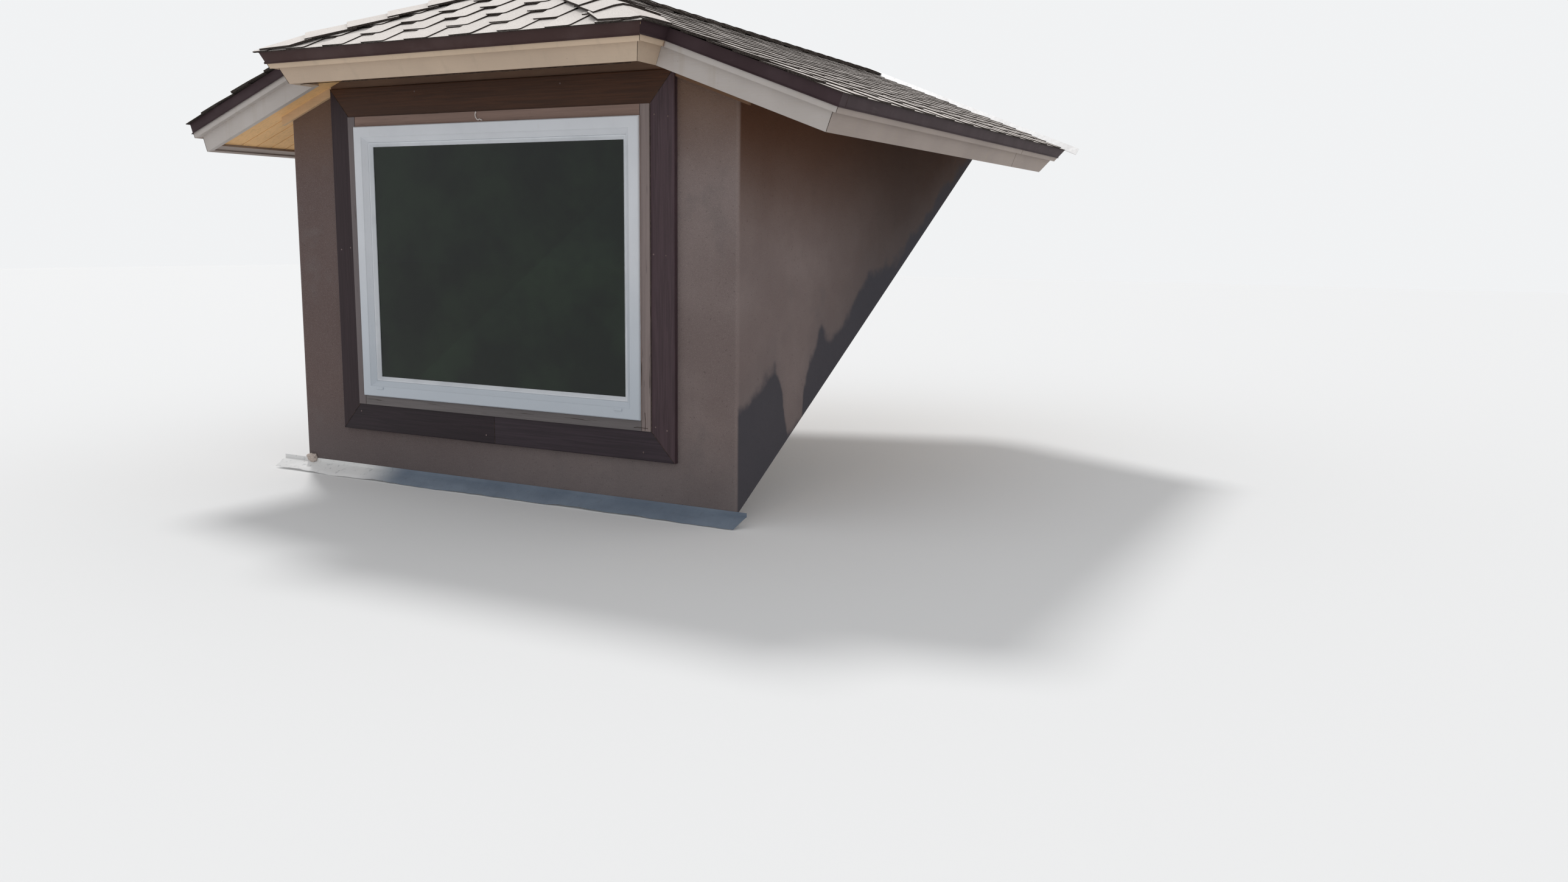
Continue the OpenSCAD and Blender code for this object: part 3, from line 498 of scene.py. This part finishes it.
# Painted light: the front slope lighter than the side slopes, as if more brightly lit.
on_front = between(tree, behind_hips, HIP_Y + 0.004, HIP_Y - 0.004, (0, 0.65))
tint = blend(tree, on_front, tint, (0.86, 0.82, 0.77))
bleached = between(tree, cloud(tree, place, 6, 4), 0.35, 0.7, (0, 0.35))
tint = blend(tree, bleached, tint, (0.53, 0.485, 0.445))
chips = cloud(tree, place, 340, 2)
tint = blend(tree, between(tree, chips, 0.54, 0.66, (0, 0.70)), tint, (0.22, 0.195, 0.175))
tint = blend(tree, between(tree, chips, 0.46, 0.34, (0, 0.70)), tint, (0.90, 0.85, 0.80))
tint = blend(tree, between(tree, up_course, 1.84, 1.98, (0, 0.80)), tint, (0.065, 0.056, 0.052))
colour(tree, shader, tint)
relief(tree, shader, (chips, 0.0013), (cloud(tree, place, 30, 3), 0.002))

felt_edge = two_tone("felt_edge", 0.95, 0.1, 300, (0.45, 0.68),
                     (0.028, 0.023, 0.020), (0.090, 0.074, 0.066))


def points_of(made):
    """The vertices among what an operator made."""
    return [v for v in made["geom"] if isinstance(v, bmesh.types.BMVert)]


def cut(bm, point, away):
    """Cuts off what lies on the far side of a plane, and closes the cut."""
    bmesh.ops.bisect_plane(bm, geom=bm.verts[:] + bm.edges[:] + bm.faces[:], dist=1e-6,
                           plane_co=point, plane_no=away, clear_outer=True)
    bmesh.ops.holes_fill(bm, edges=[e for e in bm.edges if e.is_boundary], sides=0)


def stack(k):
    """Heights over the deck of a course's upper side and under side, at its
    lower edge, one course up and two courses up."""
    tops = {-1: (0.0052, 0.0050, 0.0040), 0: (0.0090, 0.0090, 0.0050), 1: (0.0122, 0.0110, 0.0060),
            2: (0.0142, 0.0122, 0.0068)}
    full = (0.0154, 0.0125, 0.0068)
    top = tops.get(k, full)
    if k < 0:
        return top, (TOP_OF_DECK,) * 3
    if k == 0:
        return top, (0.0047, 0.0042, TOP_OF_DECK)
    under = tops.get(k - 1, full)
    return top, (under[1] - 0.0004, under[2] - 0.0004, TOP_OF_DECK)


def at_height(heights, t):
    """The height t courses up, between the three that stack gives."""
    t = min(max(t, 0.0), 2.0)
    i = min(int(t), 1)
    return heights[i] + (heights[i + 1] - heights[i]) * (t - i)


def strip(rng, start, end, butt_line, heights, shift, cuts, exposure=COURSE, head=2.04):
    """One course: X along it, Y up the slope and Z out. With shift None it is a
    plain band, and otherwise its teeth begin at start plus shift."""
    bm = bmesh.new()
    tone = bm.faces.layers.float.new("tone")
    rise = bm.verts.layers.float.new("rise")
    teeth = shift is not None
    marks, wide = [start], []
    if teeth:
        marks.append(start + shift)
        wide.append(False)
    while marks[-1] < end:
        tooth = teeth and len(marks) % 2 == 0
        step = rng.uniform(*TOOTH_WIDTHS) if tooth else rng.uniform(*GAP_WIDTHS)
        marks.append(marks[-1] + (step if teeth else BAND_STEP))
        wide.append(tooth)
    split = butt_line + (exposure if teeth else 0)
    row = [bm.verts.new((a, split + (rng.uniform(-0.003, 0.003) if teeth else 0), 0)) for a in marks]
    line = [bm.edges.new(pair) for pair in zip(row, row[1:])]
    for v in points_of(bmesh.ops.extrude_edge_only(bm, edges=line)):
        v.co.y = butt_line + head * exposure
    corners = []
    for is_tooth, e in zip(wide, line):
        if is_tooth:
            made = points_of(bmesh.ops.extrude_edge_only(bm, edges=[e]))
            low_ends = sorted(made, key=lambda v: v.co.x)
            sag = rng.uniform(-0.003, 0.003)
            for v, inwards in zip(low_ends, (1, -1)):
                v.co.y = butt_line + sag + rng.uniform(-0.0015, 0.0015)
                v.co.x += inwards * rng.uniform(0.007, 0.015)
            corners += low_ends
    if corners:
        bmesh.ops.bevel(bm, geom=corners, offset=0.009, segments=2, affect="VERTICES",
                        profile=0.5, material=-1)
    shades = [[rng.random() ** 1.2 for _ in marks] for _ in range(2)]
    for f in bm.faces:
        middle = f.calc_center_median()
        tab = next((i for i, a in enumerate(marks[1:]) if middle.x < a), 0)
        f[tone] = shades[int(middle.y > split)][tab]
    lift = [rng.uniform(0, 0.0013) for _ in marks]
    top, under = heights
    for v in bm.verts:
        v[rise] = (v.co.y - butt_line) / exposure
        close = min(range(len(marks)), key=lambda i: abs(marks[i] - v.co.x))
        loose = lift[close] * max(0.0, 1 - v[rise]) if teeth else 0
        v.co.z = at_height(top, v[rise]) + loose
    for v in points_of(bmesh.ops.extrude_face_region(bm, geom=bm.faces[:])):
        v.co.z = at_height(under, v[rise])
    for v in bm.verts:
        v.co.z += 0.0011 * noise.noise(Vector((v.co.x * 2.6, v.co.y * 2.6, 0.5)))
    bmesh.ops.recalc_face_normals(bm, faces=bm.faces[:])
    for point, away in cuts:
        cut(bm, point, away)
    for f in bm.faces:
        f.material_index = 0 if f.normal.z > 0.6 else 1
    return bm


def join(parts):
    """One mesh of several, with the layers that the granules read."""
    whole = bmesh.new()
    whole.faces.layers.float.new("tone")
    whole.verts.layers.float.new("rise")
    for one in parts:
        part = bpy.data.meshes.new("part")
        one.to_mesh(part)
        one.free()
        whole.from_mesh(part)
        bpy.data.meshes.remove(part)
    return whole


def lay(name, courses, slope, replaced):
    """Joins courses in a slope's own space into one piece on the roof."""
    whole = join(courses)
    bmesh.ops.transform(whole, matrix=slope, verts=whole.verts)
    place_piece(name, whole, [granules, felt_edge], [replaced])


def return_courses(rng, hip, rake_end):
    """The plain band over the short return, and the starter under it."""
    start, end = FRONT_Y - 0.3, rake_end + 0.2
    first = RETURN_U - OVERHANG
    over = math.ceil((first + OVERHANG) / COURSE) * COURSE - OVERHANG
    tall = over - first
    cuts = [hip, ((rake_end + 0.003, 0, 0), (1, 0, 0))]
    heights = (0.0098, 0.0122, 0.0050), (0.0047, 0.0045, TOP_OF_DECK)
    band = strip(rng, start, end, first, heights, None, cuts, exposure=tall, head=(tall + 0.09) / tall)
    starter = strip(rng, start, end, first + STARTER_UP, stack(-1), None, cuts, head=1.2)
    return [band, starter]


def side_courses(seed):
    """The courses of a side slope: X is the way back, Y up the slope."""
    rng = random.Random(seed)
    out = []
    rake_end = RAKE_Y - OVERHANG
    hip_foot = FRONT_Y + HIP_RUN * (FRONT_HALF - EAVE_X)
    hip = ((hip_foot, 0, 0), (-1, HIP_RUN * CT, -HIP_RUN * ST))
    ridge = ((0, EAVE_X / CT, 0), (0, CT, -ST))
    for k in range(-1, SIDE_COURSES):
        line = -OVERHANG + max(k, 0) * COURSE
        back = (EAVE_Z + line * ST) / math.tan(MAIN_PITCH)
        valley_end = back - 0.038 + rng.uniform(-0.011, 0.011)
        valley = ((valley_end, line, 0), (1, -ST / math.tan(MAIN_PITCH), 0))
        if line > RETURN_U - OVERHANG:
            start = FRONT_Y + HIP_RUN * (FRONT_HALF - EAVE_X + line * CT) - 0.05
            cuts = [hip, ridge, valley]
        else:
            start = rake_end
            cuts = [valley, ((rake_end + rng.uniform(-0.004, 0.004), 0, 0), (-1, 0, 0))]
        end = back + 0.3
        if k < 0:
            out.append(strip(rng, start, end, line + STARTER_UP, stack(k), None, cuts, head=1.5))
            continue
        start = math.floor(start / PATTERN) * PATTERN - PATTERN
        shift = 0.04 + (PATTERN / 2 if k % 2 else 0) + rng.uniform(-0.014, 0.014)
        out.append(strip(rng, start, end, line, stack(k), shift, cuts))
    return out + return_courses(rng, hip, rake_end)


lay("left_shingle_courses", side_courses(11), left_slope, "left_shingles")
lay("right_shingle_courses", side_courses(23), right_slope, "right_shingles")


def front_courses(seed):
    """The courses of the front slope: X across it, Y up the slope."""
    rng = random.Random(seed)
    out = []
    edge = FRONT_HALF + OVERHANG * CT
    cuts = [((s * FRONT_HALF, 0, 0), (s * HIP_RUN, CF, -SF)) for s in (-1, 1)]
    cuts += [((s * edge, 0, 0), (s, 0, 0)) for s in (-1, 1)]
    for k in range(-1, FRONT_COURSES):
        line = -OVERHANG + max(k, 0) * COURSE
        reach = FRONT_HALF + 0.1 - line * CF / HIP_RUN
        if k < 0:
            out.append(strip(rng, -reach, reach, line + STARTER_UP, stack(k), None, cuts, head=1.5))
            continue
        start = math.floor(-reach / PATTERN) * PATTERN - PATTERN
        shift = (0.165 if k % 2 else 0.085) + rng.uniform(-0.012, 0.012)
        out.append(strip(rng, start, reach, line, stack(k), shift, cuts))
    return out


lay("front_shingle_courses", front_courses(37), front_slope, "front_shingles")


# Hip and ridge caps. Single pieces of the same felt, bent over the fold and
# lapped like scales from the corner up and then along the ridge. The lowest
# are trimmed to the eaves, and the ridge ends against the valley metal.
CAP_FELT, CAP_LAP, CAP_COLUMNS = 0.0068, 0.035, 12
CAP_BOTTOM, CAP_BOTTOM_AT_EAVE = 0.0160, 0.0096
CAP_WING, HIP_SHOWN, RIDGE_SHOWN = (0.135, 0.135), 0.158, 0.128


def caps(node, count, shown, widths, origin, way, left, right, cuts, seed, first_bottom=CAP_BOTTOM):
    """Bent pieces along the fold from origin, in place of a node. left and right
    give each slope's normal and the way its wing runs off, and widths how far,
    at first and last."""
    rng = random.Random(seed)
    up = (left[0] + right[0]) / (1 + left[0].dot(right[0]))
    pieces = []
    for i in range(count):
        one = bmesh.new()
        shade = one.faces.layers.float.new("tone")
        one.verts.layers.float.new("rise")
        bmesh.ops.create_grid(one, x_segments=CAP_COLUMNS, y_segments=5, size=1)
        tilt = rng.uniform(-0.006, 0.006)
        wings = [w[0] + (w[1] - w[0]) * i / (count - 1) + rng.uniform(-0.004, 0.003) for w in widths]
        flutter = [rng.uniform(-0.0016, 0.0016) for _ in range(CAP_COLUMNS + 1)]
        value = rng.random() ** 1.2
        longer = 0.02 if i == 0 else 0
        low_end = first_bottom if i == 0 else CAP_BOTTOM + CAP_FELT
        high_end = CAP_BOTTOM + (low_end - CAP_BOTTOM) * (1 - (shown + CAP_LAP) / shown)
        for v in one.verts:
            share = (v.co.y + 1) / 2
            across = v.co.x * wings[int(v.co.x > 0)]
            uneven = flutter[round((v.co.x + 1) * CAP_COLUMNS / 2)] - longer
            on = i * shown + share * (shown + CAP_LAP) + tilt * v.co.x + uneven * (1 - share)
            lift = CAP_FELT + low_end + (high_end - low_end) * share
            droop = 0.0022 * abs(v.co.x) ** 3 * (1 - share)
            rounded = 0.0045 * math.exp(-(across / 0.018) ** 2)
            wing_way = (left if across < 0 else right)[1]
            v.co = origin + way * on + wing_way * abs(across) + up * (lift - droop - rounded)
        for f in one.faces:
            f[shade] = value
        made = points_of(bmesh.ops.extrude_face_region(one, geom=one.faces[:]))
        bmesh.ops.translate(one, verts=made, vec=-up * CAP_FELT)
        bmesh.ops.recalc_face_normals(one, faces=one.faces[:])
        for point, away in cuts:
            cut(one, point, away)
        for f in one.faces:
            f.material_index = 0 if f.normal.dot(up) > 0.6 else 1
        pieces.append(one)
    place_piece(node + "_folded", join(pieces), [granules, felt_edge], [node])


for s, node, front_wing, seed in ((-1, "left_hip_caps", (0.140, 0.105), 51),
                                  (1, "right_hip_caps", (0.112, 0.095), 67)):
    corner = Vector((s * FRONT_HALF, FRONT_Y, FRONT_Z))
    climb = Vector((-s, HIP_RUN, TT)).normalized()
    side_up, front_up = Vector((s * ST, 0, CT)), Vector((0, -SF, CF))
    side_way, front_way = climb.cross(side_up), climb.cross(front_up)
    side_way *= math.copysign(1, side_way.y)
    front_way *= -math.copysign(1, front_way.x * s)
    trim = OVERHANG - 0.002
    cuts = [(Vector((0, FRONT_Y, FRONT_Z)) - trim * Vector((0, CF, SF)), Vector((0, -CF, -SF))),
            (corner - trim * Vector((-s * CT, 0, ST)), Vector((s * CT, 0, -ST))),
            (Vector((s * 0.0005, 0, 0)), Vector((-s, 0, 0))),
            (Vector((0, HIP_Y - 0.0005, 0)), Vector((0, 1, 0)))]
    wings = [((side_up, side_way), CAP_WING), ((front_up, front_way), front_wing)]
    (left, left_wide), (right, right_wide) = wings if s < 0 else wings[::-1]
    caps(node, 8, HIP_SHOWN, (left_wide, right_wide), corner, climb, left, right, cuts, seed,
         first_bottom=CAP_BOTTOM_AT_EAVE)

top = Vector((0, HIP_Y, RIDGE_Z))
left, right = [(Vector((s * ST, 0, CT)), Vector((s * CT, 0, -ST))) for s in (-1, 1)]
cuts = [(Vector((0, 0, 0.0021)), -Vector(UP_FROM_ROOF)), (Vector((0, HIP_Y, 0)), Vector((0, -1, 0)))]
caps("ridge_caps", 25, RIDGE_SHOWN, (CAP_WING, CAP_WING), top, Vector((0, 1, 0)), left, right, cuts, 83)


# Flashing. White coated sheet, bent on site: valley metal under the shingles
# at both sides, and an apron on the slope at the foot of the front wall, whose
# lower edge is torn and wavy. The coat is chalky, with dirt where water dries.
def sheet_metal(name, tone, shade, dirt, unshaded_left_end=None):
    """Coated sheet with dirt on it, and, if given, an unshaded tone at the left end."""
    made, tree, shader, place = finish(name, 0.5, specular=0.4)
    tint = blend(tree, between(tree, cloud(tree, place, 5, 5), 0.35, 0.7), tone, shade)
    if unshaded_left_end:
        across = add(tree, "SeparateXYZ", {0: place}).outputs["X"]
        tint = blend(tree, between(tree, across, -0.48, -0.74), tint, unshaded_left_end)
    tint = blend(tree, between(tree, cloud(tree, place, 45, 5), 0.55, 0.75, (0, 0.4)), tint, dirt)
    colour(tree, shader, tint)
    relief(tree, shader, (cloud(tree, place, 18, 3), 0.004))
    return made


valley_metal = sheet_metal("valley_metal", (0.84, 0.83, 0.82), (0.74, 0.72, 0.71), (0.52, 0.49, 0.48))
# Painted shade: most of the apron is blue-grey over its white coat; only the left end keeps the white,
# with a painted shadow edge between them.
apron_metal_shaded = sheet_metal("apron_metal_shaded", (0.165, 0.205, 0.260), (0.130, 0.165, 0.215),
                          (0.110, 0.125, 0.150), unshaded_left_end=(0.74, 0.74, 0.73))
dress(valley_metal, "valley_flashings")

DOWN_SLOPE = Vector((0, -math.cos(MAIN_PITCH), -math.sin(MAIN_PITCH)))
OFF_SLOPE = Vector(UP_FROM_ROOF)
FOOT = Vector((0, -0.0655, -0.0655 * math.tan(MAIN_PITCH)))
APRON_LEFT, APRON_RIGHT, APRON_SLANT = -1.190, 1.072, 0.020
APRON_WIDE, APRON_UP_WALL, APRON_T, APRON_ROWS = 0.067, 0.013, 0.0014, 6

bm = bmesh.new()
bmesh.ops.create_grid(bm, x_segments=158, y_segments=APRON_ROWS, size=0.5)
for v in bm.verts:
    row = round((0.5 - v.co.y) * APRON_ROWS)
    share = v.co.x + 0.5
    x = APRON_LEFT + (APRON_RIGHT - APRON_LEFT) * share
    wave = noise.noise(Vector((x * 4.1, 3.3, 0))) * 0.010
    wave += noise.noise(Vector((x * 17, 1.7, 0))) * 0.005
    down = max(row - 1, 0) / (APRON_ROWS - 1) * (APRON_WIDE + wave)
    x += APRON_SLANT * share ** 40 * (1 - down / APRON_WIDE)
    puff = 0.0030 * (0.5 + noise.noise(Vector((x * 6, down * 20, 7))))
    puff *= math.sin(math.pi * min(down / APRON_WIDE, 1)) ** 0.5
    v.co = FOOT + Vector((x, 0, 0)) + DOWN_SLOPE * down + OFF_SLOPE * (0.0018 + max(puff, 0))
    if row == 0:
        v.co += Vector((0, -0.0004, APRON_UP_WALL))
bmesh.ops.solidify(bm, geom=bm.faces[:], thickness=APRON_T)
place_piece("apron_sheet", bm, apron_metal_shaded, ["apron_flashing"])


# Mortar. A lump pressed by hand into the corner at the foot of the wall,
# over the end of the apron, rough and sandy.
MORTAR_AT, MORTAR_SIZE = (-1.020, -0.070, -0.023), (0.060, 0.026, 0.034)

mortar, tree, shader, place = finish("mortar", 0.95, specular=0.1)
rough_sand = cloud(tree, place, 300, 3)
sandy = between(tree, rough_sand, 0.35, 0.65)
colour(tree, shader, blend(tree, sandy, (0.60, 0.52, 0.47), (0.42, 0.36, 0.32)))
relief(tree, shader, (rough_sand, 0.0015))

bm = bmesh.new()
bmesh.ops.create_icosphere(bm, subdivisions=4, radius=0.5)
for v in bm.verts:
    lumpy = 1 + 0.35 * noise.noise(v.co * 3.1) + 0.10 * noise.noise(v.co * 11)
    v.co = [at + away * size * lumpy for at, away, size in zip(MORTAR_AT, v.co, MORTAR_SIZE)]
place_piece("corner_mortar", bm, mortar)


# Window. A fixed window of white vinyl: a flat outer band, a band sloping in,
# a snapped-in bead and two covers over the drain holes. The vinyl is smooth
# and satin, with a little grey dust in its corners.
vinyl, tree, shader, place = finish("white_vinyl", 0.36, specular=0.45)
broad = between(tree, cloud(tree, place, 3, 5), 0.4, 0.7)
tint = blend(tree, broad, (0.66, 0.68, 0.715), (0.60, 0.62, 0.655))
dust = between(tree, cloud(tree, place, 60, 5, stretch=(1, 1, 0.3)), 0.60, 0.8, (0, 0.22))
tint = blend(tree, dust, tint, (0.50, 0.49, 0.48))
# The frame darker and bluer towards the bottom.
darker_bluer_low = between(tree, add(tree, "SeparateXYZ", {0: place}).outputs["Z"], 0.95, 0.30, (0, 0.85))
tint = blend(tree, darker_bluer_low, tint, (0.48, 0.53, 0.585))
colour(tree, shader, tint)
relief(tree, shader, (cloud(tree, place, 5, 2), 0.002))
dress(vinyl, "window_frame", "weep_covers")

bead_vinyl, tree, shader, place = finish("bead_vinyl", 0.34, specular=0.5)
broad = between(tree, cloud(tree, place, 8, 4), 0.4, 0.7)
colour(tree, shader, blend(tree, broad, (0.66, 0.685, 0.72), (0.58, 0.605, 0.64)))
relief(tree, shader, (cloud(tree, place, 5, 2), 0.001))
dress(bead_vinyl, "glazing_bead")


# Pane. Sealed double glazing with a green-black tint, clean and flat, seen
# dark because the space behind it is dark. Its mottled green-black colour is
# partly the glass's own tint and partly a painted reflection.
pane, tree, shader, place = finish("pane", 0.012, specular=0.13)
shader.inputs["Transmission Weight"].default_value = 0.45
shader.inputs["IOR"].default_value = 1.5
# Partly the glass's tint, partly a painted reflection.
tint_and_painted_reflection = between(tree, cloud(tree, place, 3.2, 6, rough=0.6), 0.40, 0.66)
colour(tree, shader, blend(tree, tint_and_painted_reflection, (0.004, 0.009, 0.006), (0.012, 0.026, 0.013)))
dress(pane, "glass")


# Trim. A narrow inner ring in taupe paint, butted at the corners, dry and
# cracked, and a wide outer ring of dark brown boards with mitred corners and
# rounded edges, face nailed. The sill is in two boards.
def board(name, lengthwise, tone, shade, crack, roughness, left_shade_painted=None):
    """Painted or stained board with its grain along X (0) or Z (2), its cracks
    as strong as crack says, and painted shade on the left if given."""
    made, tree, shader, place = finish(name, roughness, specular=0.22)
    stretch = [1.0, 1.0, 1.0]
    stretch[lengthwise] = 0.03
    grain = cloud(tree, place, 150, 6, stretch=stretch, twist=0.6)
    tint = blend(tree, between(tree, grain, 0.35, 0.68), tone, shade)
    wide = cloud(tree, place, 14, 4, stretch=[0.12 if i == lengthwise else 1 for i in range(3)])
    tint = blend(tree, between(tree, wide, 0.42, 0.72, (0, 0.55)), tint, shade)
    if left_shade_painted:
        across = add(tree, "SeparateXYZ", {0: place}).outputs["X"]
        tint = blend(tree, between(tree, across, 0.3, -0.3, (0, 0.7)), tint, left_shade_painted)
    if crack:
        lines = between(tree, cloud(tree, place, 190, 3, stretch=stretch, at=(2, 0, 5)), 0.66, 0.70)
        tint = blend(tree, maths(tree, "MULTIPLY", lines, crack), tint, (0.05, 0.04, 0.035))
    colour(tree, shader, tint)
    relief(tree, shader, (grain, 0.0006))
    return made


ACROSS, UPRIGHT = 0, 2
CRACKED, SOUND = (0.8, 0.7), (0, 0.55)
# Painted light and shade: the head, upright and sill tones are lit and shaded copies of the one taupe
# paint and the one brown stain, and the left tones add painted shade on the window's left side.
TAUPE = ((0.262, 0.178, 0.146), (0.218, 0.147, 0.121))
SIDE_TAUPE = ((0.262, 0.212, 0.200), (0.215, 0.172, 0.163))
SILL_TAUPE = ((0.172, 0.155, 0.153), (0.140, 0.127, 0.127))
HEAD_BROWN = ((0.068, 0.028, 0.014), (0.046, 0.020, 0.011))
SIDE_BROWN = ((0.074, 0.046, 0.054), (0.048, 0.030, 0.035))
SILL_BROWN = ((0.042, 0.029, 0.037), (0.028, 0.020, 0.025))
LEFT_SILL_BROWN_SHADED = ((0.027, 0.017, 0.022), (0.018, 0.012, 0.015))
LEFT_TAUPE_SHADED, LEFT_BROWN_SHADED = (0.120, 0.108, 0.114), (0.014, 0.007, 0.009)
dress(board("inner_trim_head", ACROSS, *TAUPE, *CRACKED), "inner_head")
dress(board("inner_trim_sill", ACROSS, *SILL_TAUPE, *CRACKED), "inner_sill")
dress(board("inner_trim_upright", UPRIGHT, *SIDE_TAUPE, *CRACKED, LEFT_TAUPE_SHADED), "inner_sides")
dress(board("outer_trim_head", ACROSS, *HEAD_BROWN, *SOUND), "outer_head")
dress(board("outer_trim_sill", ACROSS, *SILL_BROWN, *SOUND), "outer_sill_right")
dress(board("outer_trim_sill_left_shaded", ACROSS, *LEFT_SILL_BROWN_SHADED, *SOUND), "outer_sill_left")
dress(board("outer_trim_upright", UPRIGHT, *SIDE_BROWN, *SOUND, LEFT_BROWN_SHADED), "outer_sides")


# Joints, nails and sealant of the trim. Mitres and butts show as dark lines,
# nail heads as small paler dots, and sealant is squeezed out round the window
# with one dried curl of it on the head.
OUTER_FACE, OUTER_EDGE, INNER_FACE, WINDOW_FACE = -0.0852, -0.0853, -0.0911, -0.0912
SIDE_LINES = (((0.8066, OUTER_FACE, 1.477), (0.7116, OUTER_FACE, 1.3677), 0.0009),
              ((0.8066, OUTER_FACE, 0.1265), (0.7116, OUTER_FACE, 0.2315), 0.0009),
              ((0.6723, INNER_FACE, 1.3290), (0.6723, INNER_FACE, 1.3660), 0.0008),
              ((0.6723, INNER_FACE, 0.2705), (0.6723, INNER_FACE, 0.2335), 0.0008),
              ((0.7112, OUTER_EDGE, 0.236), (0.7112, OUTER_EDGE, 1.363), 0.0010))
SILL_LINE = ((-0.009, OUTER_FACE, 0.126), (-0.009, OUTER_FACE, 0.231))
SILL_CRACK = ((0.640, INNER_FACE, 0.2425), (0.655, WINDOW_FACE, 0.2452), (0.700, INNER_FACE, 0.2440))
END_CRACK = ((0.688, INNER_FACE, 0.236), (0.6905, WINDOW_FACE, 0.262), (0.6875, INNER_FACE, 0.300))

bm = bmesh.new()
for s in (-1, 1):
    for start, end, radius in SIDE_LINES:
        bead(bm, [Vector((s * x, y, z)) for x, y, z in (start, end)], radius)
for line, radius in ((SILL_LINE, 0.0009), (SILL_CRACK, 0.0010), (END_CRACK, 0.0009)):
    bead(bm, [Vector(point) for point in line], radius)
place_piece("trim_joint_lines", bm, shut_line)

NAILS = ((0.723, 0.857), (0.774, 0.854), (0.728, 0.250), (0.777, 0.241), (0.676, 0.155), (-0.708, 0.201),
         (-0.051, 0.156), (0.728, 1.330), (0.783, 1.322), (-0.730, 0.860), (-0.780, 0.852),
         (-0.36, 1.452), (0.33, 1.450))
nail_metal = two_tone("nail_heads", 0.6, 0.4, 40, (0.4, 0.65), (0.17, 0.12, 0.115), (0.10, 0.065, 0.06))
bm = bmesh.new()
for x, z in NAILS:
    made = bmesh.ops.create_uvsphere(bm, u_segments=10, v_segments=6, radius=1)["verts"]
    bmesh.ops.scale(bm, verts=made, vec=(0.0032, 0.0009, 0.0032))
    bmesh.ops.translate(bm, verts=made, vec=(x, -0.0850, z))
place_piece("trim_nail_heads", bm, nail_metal)

SEAL_X, SEAL_LOW, SEAL_HIGH, SEAL_STEPS, SEAL_WANDER = 0.6716, 0.2716, 1.3276, 24, 0.0003
sealant = two_tone("sealant", 0.5, 0.4, 12, (0.4, 0.65), (0.17, 0.095, 0.062), (0.24, 0.155, 0.115))
rng = random.Random(8)
ring = [(-SEAL_X, SEAL_LOW), (SEAL_X, SEAL_LOW), (SEAL_X, SEAL_HIGH), (-SEAL_X, SEAL_HIGH)]
bm = bmesh.new()
for (x0, z0), (x1, z1) in zip(ring, ring[1:] + ring[:1]):
    thread = []
    for i in range(SEAL_STEPS + 1):
        x = x0 + (x1 - x0) * i / SEAL_STEPS + rng.uniform(-SEAL_WANDER, SEAL_WANDER)
        z = z0 + (z1 - z0) * i / SEAL_STEPS + rng.uniform(-SEAL_WANDER, SEAL_WANDER)
        thread.append(Vector((x, WINDOW_FACE, z)))
    bead(bm, thread, 0.0016)
place_piece("window_sealant", bm, sealant)

CURL = ((-0.0522, 1.3655), (-0.0560, 1.3590), (-0.0568, 1.3535), (-0.0545, 1.3460), (-0.0490, 1.3385),
        (-0.0420, 1.3350), (-0.0370, 1.3385), (-0.0310, 1.3362), (-0.0235, 1.3340))
dried = two_tone("dried_sealant", 0.6, 0.3, 90, (0.4, 0.65), (0.66, 0.60, 0.57), (0.52, 0.47, 0.44))
bm = bmesh.new()
bead(bm, [Vector((x, -0.0930, z)) for x, z in CURL], 0.0024, sides=8)
place_piece("sealant_curl", bm, dried)
